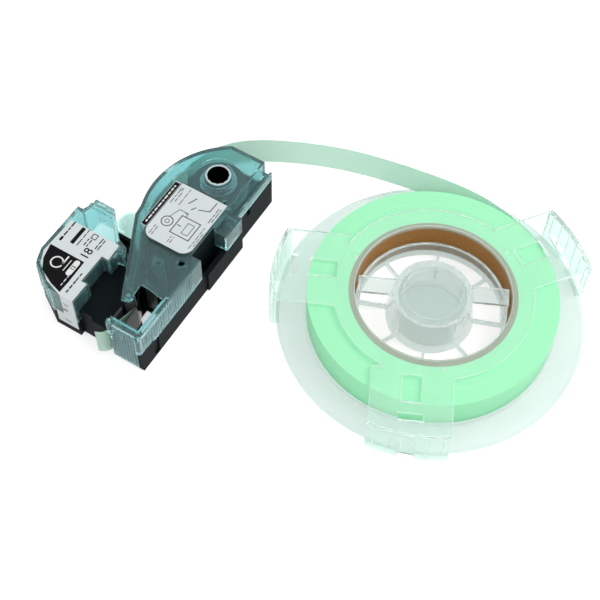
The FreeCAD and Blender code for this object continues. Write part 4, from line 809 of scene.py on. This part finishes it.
def printFold():
    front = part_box("front_label")[0][0] - ink["gap"]
    shape = bmesh.new()
    for y, z, width, height in foldBars:
        spot = casePoint(0, y, z)
        corners = [(front, spot.y + a * width * mm / 2, spot.z + b * height * mm / 2)
                   for a, b in ((-1, -1), (1, -1), (1, 1), (-1, 1))]
        liftOutline(shape, corners, (-ink["thick"], 0, 0))
    bmesh.ops.recalc_face_normals(shape, faces=shape.faces)
    addPiece("foldWords", shape, "printGrey", "case")


printStickers()
printFold()

print("stage: floor and light")

studio = {
    "floorSize": 6.0,
    "floorDrop": 0.00005,
    "floorColour": (0.86, 0.86, 0.86, 1.0),
    "floorGlow": 0.55,
    "worldStrength": 0.6,
}


lamps = {
    "keyLamp": {"spot": (0.70, -0.80, 1.10), "aim": (0.04, -0.06, 0), "size": (1.0, 1.0),
                "power": 10.0},
    "fillLamp": {"spot": (-0.9, -0.25, 0.8), "aim": (0.0, -0.05, 0), "size": (0.9, 0.9),
                 "power": 2.5},
}


def seenRays(tree):
    path = tree.nodes.new("ShaderNodeLightPath")
    both = mathNode(tree, "MAXIMUM", path.outputs["Is Camera Ray"], path.outputs["Is Glossy Ray"])
    return mathNode(tree, "MAXIMUM", both, path.outputs["Is Transmission Ray"])


def makeFloor():
    half, low = studio["floorSize"] / 2, -studio["floorDrop"]
    corners = [(-half, -half, low), (half, -half, low), (half, half, low), (-half, half, low)]
    mesh = bpy.data.meshes.new("floor")
    mesh.from_pydata(corners, [], [(0, 1, 2, 3)])
    floor = bpy.data.objects.new("floor", mesh)
    bpy.context.scene.collection.objects.link(floor)
    material = bpy.data.materials.new("floorPaper")
    material.use_nodes = True
    tree = material.node_tree
    tree.nodes.remove(tree.nodes["Principled BSDF"])
    matt = tree.nodes.new("ShaderNodeBsdfDiffuse")
    matt.inputs["Color"].default_value = studio["floorColour"]
    glow = tree.nodes.new("ShaderNodeEmission")
    glow.inputs["Color"].default_value = (1.0, 1.0, 1.0, 1.0)
    tree.links.new(mathNode(tree, "MULTIPLY", seenRays(tree), studio["floorGlow"]), glow.inputs["Strength"])
    both = tree.nodes.new("ShaderNodeAddShader")
    tree.links.new(matt.outputs[0], both.inputs[0])
    tree.links.new(glow.outputs[0], both.inputs[1])
    tree.links.new(both.outputs[0], tree.nodes["Material Output"].inputs["Surface"])
    mesh.materials.append(material)


def makeWorld():
    world = bpy.data.worlds.new("studio")
    bpy.context.scene.world = world
    world.use_nodes = True
    tree = world.node_tree
    back = tree.nodes["Background"]
    back.inputs["Color"].default_value = (1.0, 1.0, 1.0, 1.0)
    strength = rangeNode(tree, seenRays(tree), 0.0, 1.0, studio["worldStrength"], 1.0)
    tree.links.new(strength, back.inputs["Strength"])


def addLamp(name, look):
    data = bpy.data.lights.new(name, "AREA")
    data.shape = "RECTANGLE"
    data.size, data.size_y = look["size"]
    data.energy = look["power"]
    lamp = bpy.data.objects.new(name, data)
    lamp.location = look["spot"]
    lamp.rotation_euler = (Vector(look["aim"]) - Vector(look["spot"])).to_track_quat("-Z", "Y").to_euler()
    bpy.context.scene.collection.objects.link(lamp)


makeFloor()
makeWorld()
for lampName, lamp in lamps.items():
    addLamp(lampName, lamp)

bpy.context.scene.view_settings.view_transform = "Standard"
